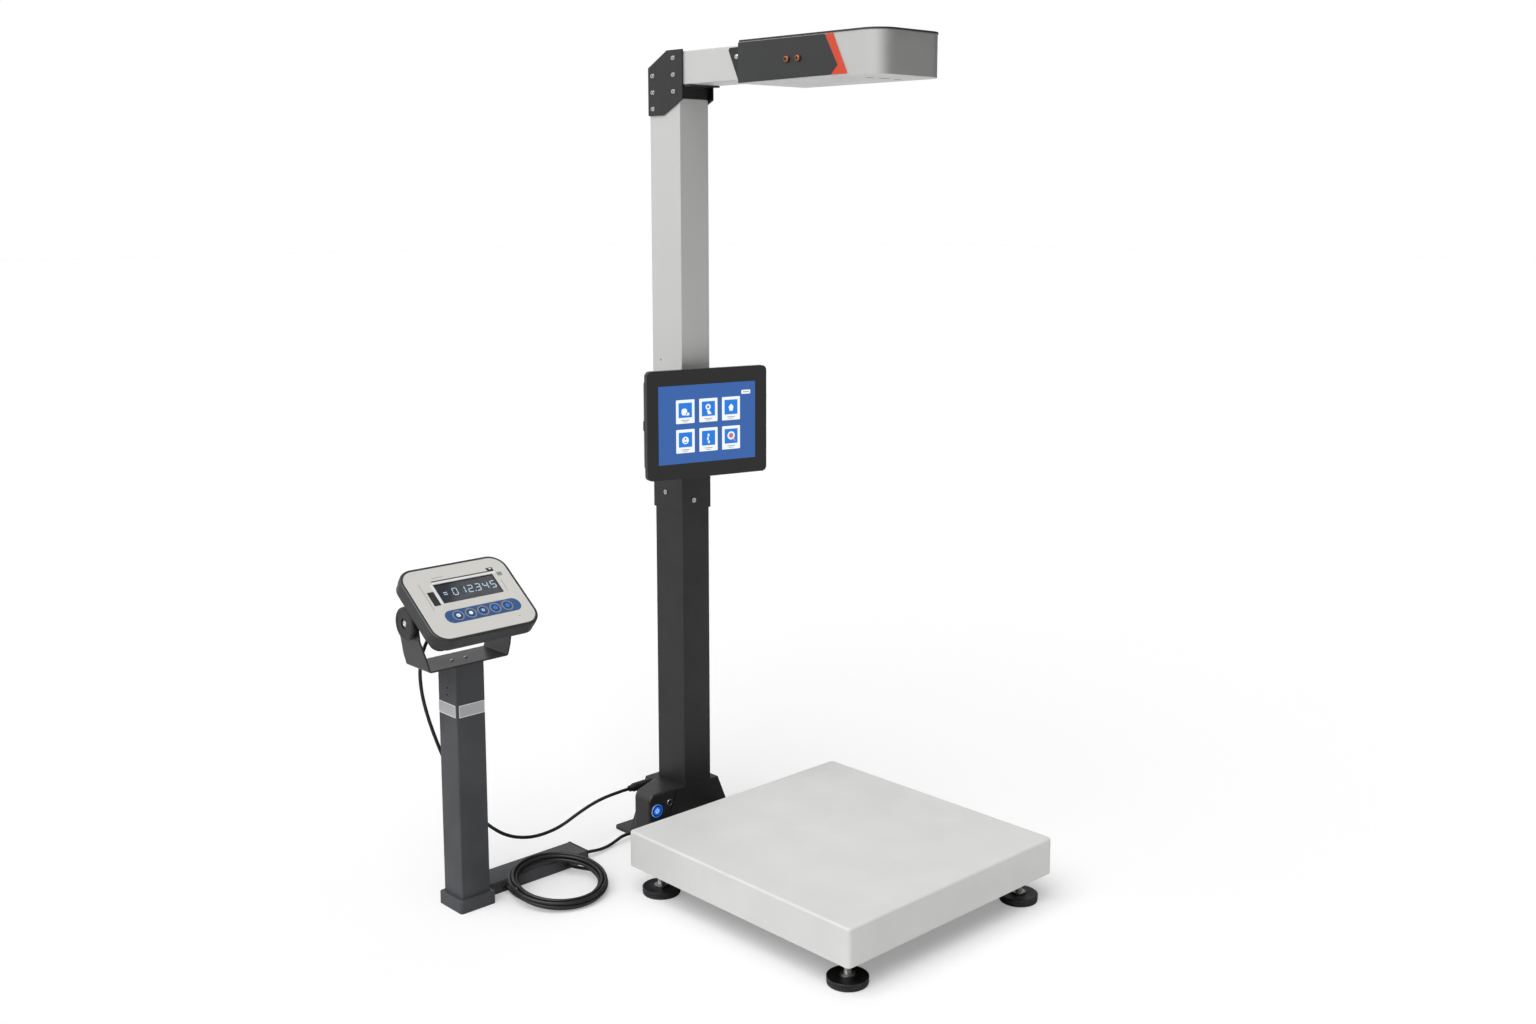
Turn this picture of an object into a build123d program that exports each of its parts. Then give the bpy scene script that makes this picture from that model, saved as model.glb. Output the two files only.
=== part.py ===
from build123d import *
import os
from math import atan2, cos, degrees, hypot, pi, radians, sin, tan

os.makedirs("parts", exist_ok=True)

# Dimensioning scale, millimetres, +Z up, +X to the operator's right, -Y towards the operator.
# The origin is on the floor, in the middle of the ground that the whole scale covers.

# Where the three groups stand on the floor
pan_x, pan_y = 170.0, -120.0
mast_x, mast_y = 170.0, 285.0
post_x, post_y = -305.5, 297.0

# Weighing platform
pan_width, pan_depth, pan_top = 500.0, 520.0, 112.0
pan_skirt, pan_sheet = 63.0, 2.0
pan_corner_r, pan_edge_r = 7.0, 4.0
pan_lift_gap = 0.3
frame_tube, frame_wall, frame_bottom, frame_corner_r = 30.0, 2.5, 42.0, 4.0
foot_inset = 39.0
foot_r, foot_pad_height, foot_stem_r = 33.0, 15.0, 6.0
foot_stem_rise, thread_gap, foot_boss_wall, foot_boss_height = 16.0, 0.4, 6.0, 11.5
gland_offset, gland_r, gland_hex, gland_nose = 150.0, 8.0, 6.0, 9.0
nut_across, nut_height = 19.0, 7.0
bridge_width, bridge_thick = 90.0, 10.0
cell_length, cell_width, cell_height = 150.0, 40.0, 30.0
cell_pad, cell_bore_r, cell_bore_pitch = 5.0, 11.0, 34.0
cell_bolt_r, cell_bolt_pitch, cell_bolt_inset = 4.0, 22.0, 18.0
bolt_head_r, bolt_head_height, bolt_head_gap = 6.5, 8.0, 0.5
spider_plate, spider_arm, spider_rib, spider_floor = 12.0, 44.0, 8.0, 4.0
spider_hub, spider_pad, spider_hub_rim = 20.0, 4.0, 10.0
buffer_r, buffer_inset = 14.0, 40.0

# Mast foot behind the platform
mast_foot_top, mast_foot_top_half, mast_foot_slope = 103.0, 49.0, 0.42
mast_foot_front, mast_foot_rear = 39.0, 55.0
mast_foot_wall = 3.0
sole_thick, sole_half, sole_rear = 6.0, 94.0, 95.0
tie_width, tie_thick, tie_pitch = 40.0, 6.0, 120.0

# Control box on the left of the mast foot
box_left, box_front, box_top, box_bottom = 116.0, 37.0, 105.0, 26.0
box_rear_left, box_rear_mid, box_join = 5.5, 31.5, 0.5
box_recess, cap_gap, bezel_proud, cap_seat_gap = 6.0, 0.3, 2.2, 0.5
box_corner_r, box_edge_r = 14.0, 4.0
power_x, power_z, power_bezel_r, power_cap_r = -99.5, 74.0, 12.5, 7.5
power_travel = 2.0
socket_x, socket_z, socket_r, socket_wall, socket_proud = -68.5, 82.0, 6.2, 2.0, 1.6

# Telescopic mast, arm and corner bracket
lower_x, lower_y, lower_wall, tube_overlap = 63.0, 77.0, 2.5, 160.0
tube_corner_r = 2.0
mast_clearance, upper_wall = 0.4, 1.6
collar_below_tablet, collar_height, collar_proud = 89.0, 76.0, 0.5
collar_screw_rise, collar_screw_step, collar_screw_back, collar_screw_left = 17.5, 12.0, 6.0, 8.0
collar_screw_height, screw_socket_r, screw_socket_depth = 1.5, 1.6, 1.0
index_hole_r, index_hole_back, index_hole_rise = 1.7, 17.0, 106.0
arm_height, arm_wall, arm_rise = 57.0, 2.5, 0.5
plate_thick, plate_front, plate_rear, plate_ridge = 3.0, 51.0, 41.0, 10.3
plate_below, plate_above, plate_front_below, plate_chamfer_rise = 50.5, 3.5, 24.0, 32.5
plate_toe, plate_toe_r = 2.5, 3.0
corner_screw_y, corner_screw_pitch, corner_screw_drop, corner_screw_below = 28.0, 28.5, 28.0, 10.5
screw_shank_r, screw_head_r, screw_head_height = 2.5, 4.4, 2.6
angle_drop, angle_reach, angle_thick = 23.0, 30.0, 3.0

# Measuring head
head_width, head_rear, head_front = 152.0, -239.0, -550.0
head_top, head_height, head_corner_r = 1434.0, 66.0, 34.0
head_wall, lid_thick, lid_overhang, tray_thick, tray_gap = 2.0, 3.0, 1.2, 2.5, 0.6
side_plate_thick, side_plate_margin, side_plate_lift, side_plate_edge = 2.0, 1.0, 2.0, 0.5
plate_high_y, plate_nose_y, plate_low_y, side_plate_nose = -436.5, -464.0, -449.3, 17.0
accent_high_y, accent_low_y = -452.0, -483.0
accent_thick = 1.6
mount_plate_thick, mount_plate_high, mount_plate_low, mount_plate_width = 3.0, 70.0, 45.0, 107.0
mount_plate_drop, mount_plate_margin, mount_plate_r = 3.0, 1.0, 4.0
sensor_y, sensor_width, sensor_depth, sensor_height = -478.0, 110.0, 26.0, 24.0
lens_places = [(-33.0, 7.0), (0.0, 9.0), (31.0, 7.0)]
lens_shift = 12.0
lens_gap = 0.6

# Operator tablet on the mast
tablet_width, tablet_height, tablet_depth = 240.0, 193.0, 24.0
tablet_x, tablet_front, tablet_z = -14.0, -89.0, 789.0
tablet_swivel = -13.2
tablet_corner_r, tablet_glass = 9.0, 2.0
shell_step, shell_inset_x, shell_inset_y = 11.0, 3.0, 15.0
swivel_back, tilt_gap = 9.5, 8.5
swivel_r, tilt_r, hinge_pin_r, tilt_pin_r, hinge_gap, pin_gap = 6.0, 5.5, 3.0, 2.0, 0.4, 0.15
swivel_height, swivel_lug, swivel_lug_r, tilt_length, tilt_lug = 34.0, 6.0, 7.0, 26.0, 5.0
bracket_plate, bracket_plate_x, bracket_plate_z = 3.0, 56.0, 92.0
ear_plate_x, ear_plate_z, ear_plate_thick = 50.0, 40.0, 2.5
side_key_length, side_key_width, side_key_proud, side_key_travel = 17.0, 5.0, 2.4, 1.0
side_key_depth, side_key_gap, side_key_seat = 16.5, 0.3, 4.0

# Indicator stand
post_width, post_wall, post_top = 55.0, 2.5, 424.0
shoe_extra, shoe_height, shoe_floor = 6.8, 22.0, 3.0
post_hole_r, post_hole_drop, post_hole_pitch = 1.6, 52.0, 12.0
bar_right, bar_front, bar_width, bar_height, bar_wall = -56.0, 289.0, 56.0, 22.0, 3.0
plug_thick, plug_proud, plug_reach = 3.0, 0.6, 8.0
yoke_half, yoke_front, yoke_rear, yoke_sheet = 76.0, 270.0, 340.0, 3.0
yoke_bend_r, yoke_arm_r, yoke_flare_top, yoke_shoulder = 5.0, 24.0, 478.0, 20.0

# Indicator
pivot_y, pivot_z, pivot_half = 303.7, 504.8, 90.5
face_tilt = 36.0
face_width, face_height, face_corner_r = 204.0, 158.0, 30.0
face_before_pivot, face_below_pivot = 51.6, 12.1
rim_depth, rim_width, overlay_recess = 24.0, 5.0, 0.8
rear_depth, rear_inset, rear_taper = 34.0, 18.0, 14.0
boss_r, boss_gap, boss_start = 12.0, 0.4, 68.0
window_x, window_y, window_width, window_height = 7.5, 18.0, 115.0, 42.0
key_x, key_y, key_pitch, key_r = 8.0, -32.0, 23.5, 7.5
key_proud, key_travel, key_gap = 1.2, 0.6, 0.3
key_count = 5
knob_r, knob_thick, knob_gap, knob_stud_r, knob_hub_r = 27.0, 9.0, 0.4, 4.0, 9.0
case_gland_x, case_gland_y, case_gland_r, case_gland_length = -44.5, 5.0, 6.5, 16.0

# Leads
lead_r = 3.0
coil_x, coil_y, coil_outer, coil_inner, coil_height = -170.0, 224.5, 88.5, 68.5, 20.0
coil_lift = 0.9
plug_r, plug_y, plug_z, plug_end, plug_nose = 8.0, 328.0, 94.0, 71.0, 10.0
tail_z = 11.0
foot_gland_r, foot_gland_y, foot_gland_z, foot_gland_end, foot_gland_nose = 5.0, 318.5, 11.5, 60.0, 6.0

# Worked out from the sizes above
pan_inner_top = pan_top - pan_sheet
frame_half_x = pan_width / 2 - foot_inset + frame_tube / 2
frame_half_y = pan_depth / 2 - foot_inset + frame_tube / 2
cell_bottom = frame_bottom + bridge_thick + cell_pad
cell_top = cell_bottom + cell_height
spider_bottom = cell_top + cell_pad
spider_top = spider_bottom + spider_plate
foot_x = pan_width / 2 - foot_inset
foot_y = pan_depth / 2 - foot_inset
upper_x = lower_x + 2 * (mast_clearance + upper_wall)
upper_y = lower_y + 2 * (mast_clearance + upper_wall)
mast_front = mast_y - upper_y / 2
collar_top = tablet_z - collar_below_tablet
collar_bottom = collar_top - collar_height
collar_screw_z = collar_bottom + collar_screw_rise
head_bottom = head_top - head_height
arm_top = head_top + arm_rise
arm_bottom = arm_top - arm_height
plate_top = arm_top + plate_above
plate_bottom = arm_bottom - plate_below
plate_front_z = arm_bottom - plate_front_below
plate_chamfer_z = arm_bottom + plate_chamfer_rise
side_plate_nose_z = head_bottom + side_plate_nose
head_rear_y = mast_y + head_rear
head_front_y = mast_y + head_front
head_half = head_width / 2


def save(piece, name):
    piece.part.label = name
    export_step(piece.part, "parts/" + name + ".step")


# Pan cover: folded sheet pan, open below, with rounded top edges
with BuildPart() as pan_cover:
    with BuildSketch(Plane.XY.offset(pan_top - pan_skirt)):
        with Locations((pan_x, pan_y)):
            RectangleRounded(pan_width, pan_depth, pan_corner_r)
    extrude(amount=pan_skirt)
    fillet(pan_cover.faces().sort_by(Axis.Z)[-1].edges(), pan_edge_r)
    offset(amount=-pan_sheet, openings=pan_cover.faces().sort_by(Axis.Z)[0])
save(pan_cover, "pan_cover")

# Base frame: welded tube ring with the bridge that carries the load cell
with BuildPart() as base_frame:
    with BuildSketch(Plane.XY.offset(frame_bottom)):
        with Locations((pan_x, pan_y)):
            RectangleRounded(2 * frame_half_x, 2 * frame_half_y, frame_corner_r)
            Rectangle(2 * (frame_half_x - frame_tube), 2 * (frame_half_y - frame_tube), mode=Mode.SUBTRACT)
    extrude(amount=frame_tube)
    with BuildSketch(Plane.XY.offset(frame_bottom)):
        with Locations((pan_x, pan_y)):
            Rectangle(bridge_width, 2 * frame_half_y - frame_tube)
    extrude(amount=bridge_thick)
    with Locations((pan_x, pan_y - cell_length / 2 + cell_bolt_inset + cell_bolt_pitch / 2,
                    frame_bottom + bridge_thick + cell_pad / 2)):
        Box(cell_width, cell_bolt_pitch + 2 * cell_bolt_inset, cell_pad)
    bore = frame_tube - 2 * frame_wall
    tube_mid = frame_bottom + frame_tube / 2
    for side in (-1, 1):
        with Locations((pan_x + side * foot_x, pan_y, tube_mid)):
            Box(bore, 2 * frame_half_y, bore, mode=Mode.SUBTRACT)
        with Locations((pan_x, pan_y + side * foot_y, tube_mid)):
            Box(2 * foot_x, bore, bore, mode=Mode.SUBTRACT)
    with Locations(*[(pan_x + i * foot_x, pan_y + j * foot_y, frame_bottom)
                     for i in (-1, 1) for j in (-1, 1)]):
        Cylinder(foot_stem_r + foot_boss_wall, foot_boss_height, align=(Align.CENTER, Align.CENTER, Align.MIN))
        Cylinder(foot_stem_r + thread_gap, 2 * frame_tube, mode=Mode.SUBTRACT)
    with Locations(*[(pan_x, pan_y - cell_length / 2 + cell_bolt_inset + k * cell_bolt_pitch, frame_bottom)
                     for k in (0, 1)]):
        Cylinder(cell_bolt_r, 2 * frame_tube, mode=Mode.SUBTRACT)
save(base_frame, "base_frame")

# Load cell: aluminium bar with the twin bore that lets it bend
with BuildPart() as load_cell:
    with Locations((pan_x, pan_y, (cell_bottom + cell_top) / 2)):
        Box(cell_width, cell_length, cell_height)
    with BuildSketch(Plane.YZ.offset(pan_x)):
        with Locations((pan_y, (cell_bottom + cell_top) / 2)):
            SlotCenterToCenter(cell_bore_pitch, cell_bore_r)
            with Locations((-cell_bore_pitch / 2, 0), (cell_bore_pitch / 2, 0)):
                Circle(cell_bore_r)
    extrude(amount=cell_width, both=True, mode=Mode.SUBTRACT)
    fixed_y = pan_y - cell_length / 2 + cell_bolt_inset
    live_y = pan_y + cell_length / 2 - cell_bolt_inset
    with Locations(*[(pan_x, y + d * cell_bolt_pitch, (cell_bottom + cell_top) / 2)
                     for y, d in ((fixed_y, 0), (fixed_y, 1), (live_y, 0), (live_y, -1))]):
        Cylinder(cell_bolt_r, 2 * cell_height, mode=Mode.SUBTRACT)
save(load_cell, "load_cell")

# Load spider: the cross that carries the pan on four buffers, bolted to the cell's free end
buffer_x = pan_width / 2 - buffer_inset - buffer_r
buffer_y = pan_depth / 2 - buffer_inset - buffer_r
buffer_spots = [(pan_x + i * buffer_x, pan_y + j * buffer_y) for i in (-1, 1) for j in (-1, 1)]
cross_length = 2 * hypot(buffer_x, buffer_y)
cross_angle = degrees(atan2(buffer_y, buffer_x))
with BuildPart() as load_spider:
    with BuildSketch(Plane.XY.offset(spider_bottom)):
        with Locations((pan_x, pan_y)):
            Rectangle(cell_width + 2 * spider_hub, cell_length + spider_hub_rim)
            for arm_turn in (cross_angle, -cross_angle):
                Rectangle(cross_length, spider_arm, rotation=arm_turn)
        with Locations(*buffer_spots):
            Circle(spider_arm / 2 + spider_pad)
    extrude(amount=spider_plate)
    with BuildSketch(Plane.XY.offset(spider_bottom)):
        with Locations((pan_x, pan_y)):
            for arm_turn in (cross_angle, -cross_angle):
                Rectangle(cross_length - 2 * spider_arm, spider_arm - 2 * spider_rib, rotation=arm_turn)
            Rectangle(cell_width + 2 * (spider_hub + spider_hub_rim), cell_length + 3 * spider_hub_rim,
                      mode=Mode.SUBTRACT)
    extrude(amount=spider_plate - spider_floor, mode=Mode.SUBTRACT)
    with Locations((pan_x, pan_y + cell_length / 2 - cell_bolt_inset - cell_bolt_pitch / 2,
                    spider_bottom - cell_pad / 2)):
        Box(cell_width, cell_bolt_pitch + 2 * cell_bolt_inset, cell_pad)
    with Locations(*[(pan_x, live_y - k * cell_bolt_pitch, spider_top) for k in (0, 1)]):
        CounterBoreHole(cell_bolt_r, bolt_head_r + bolt_head_gap, bolt_head_height + bolt_head_gap,
                        spider_plate + cell_pad)
save(load_spider, "load_spider")

with BuildPart() as pan_buffers:
    with Locations(*[(x, y, spider_top) for x, y in buffer_spots]):
        Cone(buffer_r, buffer_r - 2, pan_inner_top - spider_top - pan_lift_gap,
             align=(Align.CENTER, Align.CENTER, Align.MIN))
save(pan_buffers, "pan_buffers")

# Load cell bolts: two from below at the fixed end, two from above at the free end
with BuildPart() as cell_bolts:
    with Locations(*[(pan_x, fixed_y + k * cell_bolt_pitch, frame_bottom) for k in (0, 1)]):
        Cylinder(cell_bolt_r, cell_height, align=(Align.CENTER, Align.CENTER, Align.MIN))
    with Locations(*[(pan_x, fixed_y + k * cell_bolt_pitch, frame_bottom - bolt_head_height) for k in (0, 1)]):
        Cylinder(bolt_head_r, bolt_head_height, align=(Align.CENTER, Align.CENTER, Align.MIN))
    head_seat = spider_top - bolt_head_height - bolt_head_gap
    with Locations(*[(pan_x, live_y - k * cell_bolt_pitch, head_seat) for k in (0, 1)]):
        Cylinder(cell_bolt_r, cell_height, align=(Align.CENTER, Align.CENTER, Align.MAX))
        Cylinder(bolt_head_r, bolt_head_height, align=(Align.CENTER, Align.CENTER, Align.MIN))
save(cell_bolts, "cell_bolts")

# Levelling feet: a rubber disc on a steel stem, with a lock nut under the frame
foot_names = {(-1, -1): "foot_front_left", (1, -1): "foot_front_right",
              (-1, 1): "foot_back_left", (1, 1): "foot_back_right"}
for (i, j), name in foot_names.items():
    axis_x, axis_y = pan_x + i * foot_x, pan_y + j * foot_y
    with BuildPart() as foot:
        with BuildSketch(Plane(origin=(axis_x, axis_y, 0), x_dir=(1, 0, 0), z_dir=(0, -1, 0))):
            with BuildLine():
                Polyline((0, 0), (foot_r, 0), (foot_r, foot_pad_height * 0.55))
                ThreePointArc((foot_r, foot_pad_height * 0.55), (foot_r * 0.75, foot_pad_height * 0.85),
                              (foot_r * 0.4, foot_pad_height))
                Polyline((foot_r * 0.4, foot_pad_height), (foot_stem_r, foot_pad_height),
                         (foot_stem_r, frame_bottom + foot_stem_rise), (0, frame_bottom + foot_stem_rise), (0, 0))
            make_face()
        revolve(axis=Axis((axis_x, axis_y, 0), (0, 0, 1)))
    save(foot, name)

with BuildPart() as lock_nuts:
    with BuildSketch(Plane.XY.offset(frame_bottom - nut_height)):
        with Locations(*[(pan_x + i * foot_x, pan_y + j * foot_y) for i, j in foot_names]):
            RegularPolygon(nut_across / 2, 6, major_radius=False)
            Circle(foot_stem_r + thread_gap, mode=Mode.SUBTRACT)
    extrude(amount=nut_height)
save(lock_nuts, "lock_nuts")

# Cable gland of the load cell lead, in the rear tube of the frame
with BuildPart() as cell_gland:
    with BuildSketch(Plane(origin=(pan_x - gland_offset, pan_y + frame_half_y, frame_bottom + frame_tube / 2),
                           x_dir=(1, 0, 0), z_dir=(0, 1, 0))):
        RegularPolygon(gland_r, 6, major_radius=False)
    extrude(amount=gland_hex)
    with BuildSketch(cell_gland.faces().sort_by(Axis.Y)[-1]):
        Circle(gland_r - 1)
    extrude(amount=gland_nose, taper=12)
save(cell_gland, "cell_gland")

# Mast foot: a folded steel housing on a sole plate that reaches back for stability
with BuildPart() as mast_foot:
    with BuildSketch(Plane.XY):
        with Locations((mast_x, mast_y + (sole_rear - mast_foot_front) / 2)):
            RectangleRounded(2 * sole_half, sole_rear + mast_foot_front, 6)
    extrude(amount=sole_thick)
    foot_low_half = mast_foot_top_half + (mast_foot_top - sole_thick) * mast_foot_slope
    with BuildSketch(Plane.XZ.offset(-(mast_y - mast_foot_front))):
        with BuildLine():
            Polyline((mast_x - foot_low_half, sole_thick), (mast_x + foot_low_half, sole_thick),
                     (mast_x + mast_foot_top_half, mast_foot_top), (mast_x - mast_foot_top_half, mast_foot_top),
                     close=True)
        make_face()
    extrude(amount=-(mast_foot_front + mast_foot_rear))
    hollow_top_half = mast_foot_top_half - mast_foot_wall
    hollow_low_half = foot_low_half - mast_foot_wall
    with BuildSketch(Plane.XZ.offset(-(mast_y - mast_foot_front + mast_foot_wall))):
        with BuildLine():
            Polyline((mast_x - hollow_low_half, sole_thick), (mast_x + hollow_low_half, sole_thick),
                     (mast_x + hollow_top_half, mast_foot_top - mast_foot_wall),
                     (mast_x - hollow_top_half, mast_foot_top - mast_foot_wall), close=True)
        make_face()
    extrude(amount=-(mast_foot_front + mast_foot_rear - 2 * mast_foot_wall), mode=Mode.SUBTRACT)
    with BuildSketch(Plane.XY.offset(sole_thick)):
        with Locations((mast_x, mast_y)):
            Rectangle(lower_x, lower_y)
    extrude(amount=mast_foot_top, mode=Mode.SUBTRACT)
save(mast_foot, "mast_foot")

# Two flat bars under the rear tube of the platform frame tie it to the mast foot
with BuildPart() as tie_bars:
    tie_start = pan_y + frame_half_y - frame_tube
    tie_end = mast_y - mast_foot_front
    with Locations(*[(mast_x + side * tie_pitch / 2, (tie_start + tie_end) / 2, frame_bottom - tie_thick / 2)
                     for side in (-1, 1)]):
        Box(tie_width, tie_end - tie_start, tie_thick)
save(tie_bars, "tie_bars")

with BuildPart() as lower_mast_tube:
    with BuildSketch(Plane.XY.offset(sole_thick)):
        with Locations((mast_x, mast_y)):
            RectangleRounded(lower_x, lower_y, tube_corner_r)
            RectangleRounded(lower_x - 2 * lower_wall, lower_y - 2 * lower_wall, tube_corner_r - 1,
                             mode=Mode.SUBTRACT)
    extrude(amount=collar_top + tube_overlap - sole_thick)
save(lower_mast_tube, "lower_mast_tube")

# Control box: its rear wall runs slantwise from the mast to the narrow left end
box_plan = [(mast_x - box_left, mast_y - box_front), (mast_x - mast_foot_top_half - box_join, mast_y - box_front),
            (mast_x - mast_foot_top_half - box_join, mast_y + box_rear_mid),
            (mast_x - box_left, mast_y + box_rear_left)]
with BuildPart() as control_box:
    with BuildSketch(Plane.XY.offset(box_bottom)):
        with BuildLine():
            Polyline(*box_plan, close=True)
        make_face()
    extrude(amount=box_top - box_bottom)
    low_edge = mast_foot_top_half + (mast_foot_top - box_bottom) * mast_foot_slope + box_join
    with BuildSketch(Plane.XZ.offset(-(mast_y - 2 * box_front))):
        with BuildLine():
            Polyline((mast_x - low_edge, box_bottom - 1), (mast_x - mast_foot_top_half - box_join, box_top + 1),
                     (mast_x, box_top + 1), (mast_x, box_bottom - 1), close=True)
        make_face()
    extrude(amount=-4 * box_front, mode=Mode.SUBTRACT)
    fillet(control_box.edges().filter_by(Axis.Y).sort_by(Axis.X)[0:2].sort_by(Axis.Z)[-1], box_corner_r)
    fillet(control_box.edges().filter_by(Axis.Z).sort_by(Axis.X)[0:2], box_edge_r)
    for x, z, r in ((power_x, power_z, power_cap_r + cap_gap), (socket_x, socket_z, socket_r - socket_wall)):
        with Locations(Plane(origin=(mast_x + x, mast_y - box_front, z), x_dir=(1, 0, 0), z_dir=(0, -1, 0))):
            Hole(r, depth=box_recess)
save(control_box, "control_box")

front_of_box = Plane(origin=(mast_x, mast_y - box_front, 0), x_dir=(1, 0, 0), z_dir=(0, -1, 0))
with BuildPart() as power_bezel:
    with BuildSketch(front_of_box):
        with Locations((power_x, power_z)):
            Circle(power_bezel_r)
            Circle(power_cap_r + cap_gap, mode=Mode.SUBTRACT)
    extrude(amount=bezel_proud)
    chamfer(power_bezel.faces().sort_by(Axis.Y)[0].outer_wire().edges(), 0.8)
save(power_bezel, "power_bezel")

with BuildPart() as power_cap:
    with BuildSketch(front_of_box.offset(-box_recess + power_travel + cap_seat_gap)):
        with Locations((power_x, power_z)):
            Circle(power_cap_r)
    extrude(amount=box_recess - power_travel - cap_seat_gap + bezel_proud - 0.2)
    fillet(power_cap.faces().sort_by(Axis.Y)[0].edges(), 0.8)
save(power_cap, "power_cap")

with BuildPart() as service_socket:
    with BuildSketch(front_of_box):
        with Locations((socket_x, socket_z)):
            Circle(socket_r)
            Circle(socket_r - socket_wall, mode=Mode.SUBTRACT)
    extrude(amount=socket_proud)
    fillet(service_socket.faces().sort_by(Axis.Y)[0].outer_wire().edges(), 0.7)
save(service_socket, "service_socket")

# Upper mast: sliding tube with a clamping collar at its lower end
with BuildPart() as mast_collar:
    with BuildSketch(Plane.XY.offset(collar_bottom)):
        with Locations((mast_x, mast_y)):
            RectangleRounded(upper_x + 2 * collar_proud, upper_y + 2 * collar_proud, tube_corner_r)
            RectangleRounded(lower_x + 2 * mast_clearance, lower_y + 2 * mast_clearance, tube_corner_r,
                             mode=Mode.SUBTRACT)
    extrude(amount=collar_top - collar_bottom)
    screw_spots = [Plane(origin=(mast_x - upper_x / 2 - collar_proud, mast_y + collar_screw_back,
                                 collar_screw_z + collar_screw_step), x_dir=(0, 1, 0), z_dir=(-1, 0, 0)),
                   Plane(origin=(mast_x - collar_screw_left, mast_y - upper_y / 2 - collar_proud, collar_screw_z),
                         x_dir=(1, 0, 0), z_dir=(0, -1, 0))]
    for spot in screw_spots:
        with Locations(spot):
            Hole(screw_shank_r, depth=upper_wall + collar_proud + 0.1)
save(mast_collar, "mast_collar")

with BuildPart() as collar_screws:
    for spot in screw_spots:
        with BuildSketch(spot.offset(-upper_wall)):
            Circle(screw_shank_r)
        extrude(amount=upper_wall)
        with BuildSketch(spot):
            Circle(screw_head_r)
        extrude(amount=collar_screw_height)
        with BuildSketch(spot.offset(collar_screw_height - screw_socket_depth)):
            RegularPolygon(screw_socket_r, 6)
        extrude(amount=screw_socket_depth, mode=Mode.SUBTRACT)
save(collar_screws, "collar_screws")

with BuildPart() as upper_mast_tube:
    with BuildSketch(Plane.XY.offset(collar_top)):
        with Locations((mast_x, mast_y)):
            RectangleRounded(upper_x, upper_y, tube_corner_r)
            RectangleRounded(upper_x - 2 * upper_wall, upper_y - 2 * upper_wall, tube_corner_r - 1,
                             mode=Mode.SUBTRACT)
    extrude(amount=arm_bottom - collar_top)
    with Locations(Plane(origin=(mast_x - upper_x / 2, mast_y + index_hole_back, tablet_z + index_hole_rise),
                         x_dir=(0, 1, 0), z_dir=(-1, 0, 0))):
        Hole(index_hole_r, depth=2 * upper_wall)
save(upper_mast_tube, "upper_mast_tube")

# Arm: the tube lies on the mast and its rear end is cut along the corner plates
with BuildPart() as arm_tube:
    with BuildSketch(Plane.XZ.offset(-head_rear_y)):
        with Locations((mast_x, (arm_bottom + arm_top) / 2)):
            RectangleRounded(upper_x, arm_height, tube_corner_r)
            RectangleRounded(upper_x - 2 * arm_wall, arm_height - 2 * arm_wall, tube_corner_r - 1,
                             mode=Mode.SUBTRACT)
    extrude(amount=-(mast_y + upper_y / 2 - head_rear_y))
    with BuildSketch(Plane.YZ.offset(mast_x)):
        with BuildLine():
            Polyline((mast_y - plate_ridge, plate_top), (mast_y + 2 * plate_rear, plate_top),
                     (mast_y + 2 * plate_rear, plate_chamfer_z), (mast_y + plate_rear, plate_chamfer_z), close=True)
        make_face()
    extrude(amount=upper_x, both=True, mode=Mode.SUBTRACT)
save(arm_tube, "arm_tube")

# Corner bracket: two black side plates, screwed through the arm and the mast
plate_outline = [(mast_y - plate_front, plate_front_z), (mast_y - plate_front, plate_top),
                 (mast_y - plate_ridge, plate_top), (mast_y + plate_rear, plate_chamfer_z),
                 (mast_y + plate_rear, plate_bottom), (mast_y + plate_toe, plate_bottom)]
with BuildPart() as corner_plates:
    for side in (-1, 1):
        face = mast_x + side * upper_x / 2
        with BuildSketch(Plane.YZ.offset(face)):
            with BuildLine():
                Polyline(*plate_outline, close=True)
            make_face()
        extrude(amount=side * plate_thick)
    fillet(corner_plates.edges().filter_by(Axis.X).group_by(Axis.Z)[0], plate_toe_r)
save(corner_plates, "corner_plates")

corner_screw_z = arm_top - corner_screw_below
corner_spots = [(-corner_screw_y, corner_screw_z - k * corner_screw_pitch) for k in range(3)]
corner_spots += [(corner_screw_y, corner_screw_z - corner_screw_drop - k * corner_screw_pitch) for k in range(3)]
with BuildPart() as corner_screws:
    for side in (-1, 1):
        outside = mast_x + side * (upper_x / 2 + plate_thick)
        with BuildSketch(Plane.YZ.offset(outside)):
            with Locations(*[(mast_y + y, z) for y, z in corner_spots]):
                Circle(screw_head_r)
        extrude(amount=side * screw_head_height, taper=22)
save(corner_screws, "corner_screws")

# Angle under the arm, against the front of the mast
with BuildPart() as under_arm_angle:
    with BuildSketch(Plane.YZ.offset(mast_x - upper_x / 2)):
        with BuildLine():
            Polyline((mast_front, arm_bottom), (mast_front - angle_reach, arm_bottom),
                     (mast_front - angle_reach, arm_bottom - angle_thick),
                     (mast_front - angle_thick, arm_bottom - angle_thick),
                     (mast_front - angle_thick, arm_bottom - angle_drop),
                     (mast_front, arm_bottom - angle_drop), close=True)
        make_face()
    extrude(amount=upper_x)
save(under_arm_angle, "under_arm_angle")

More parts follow.
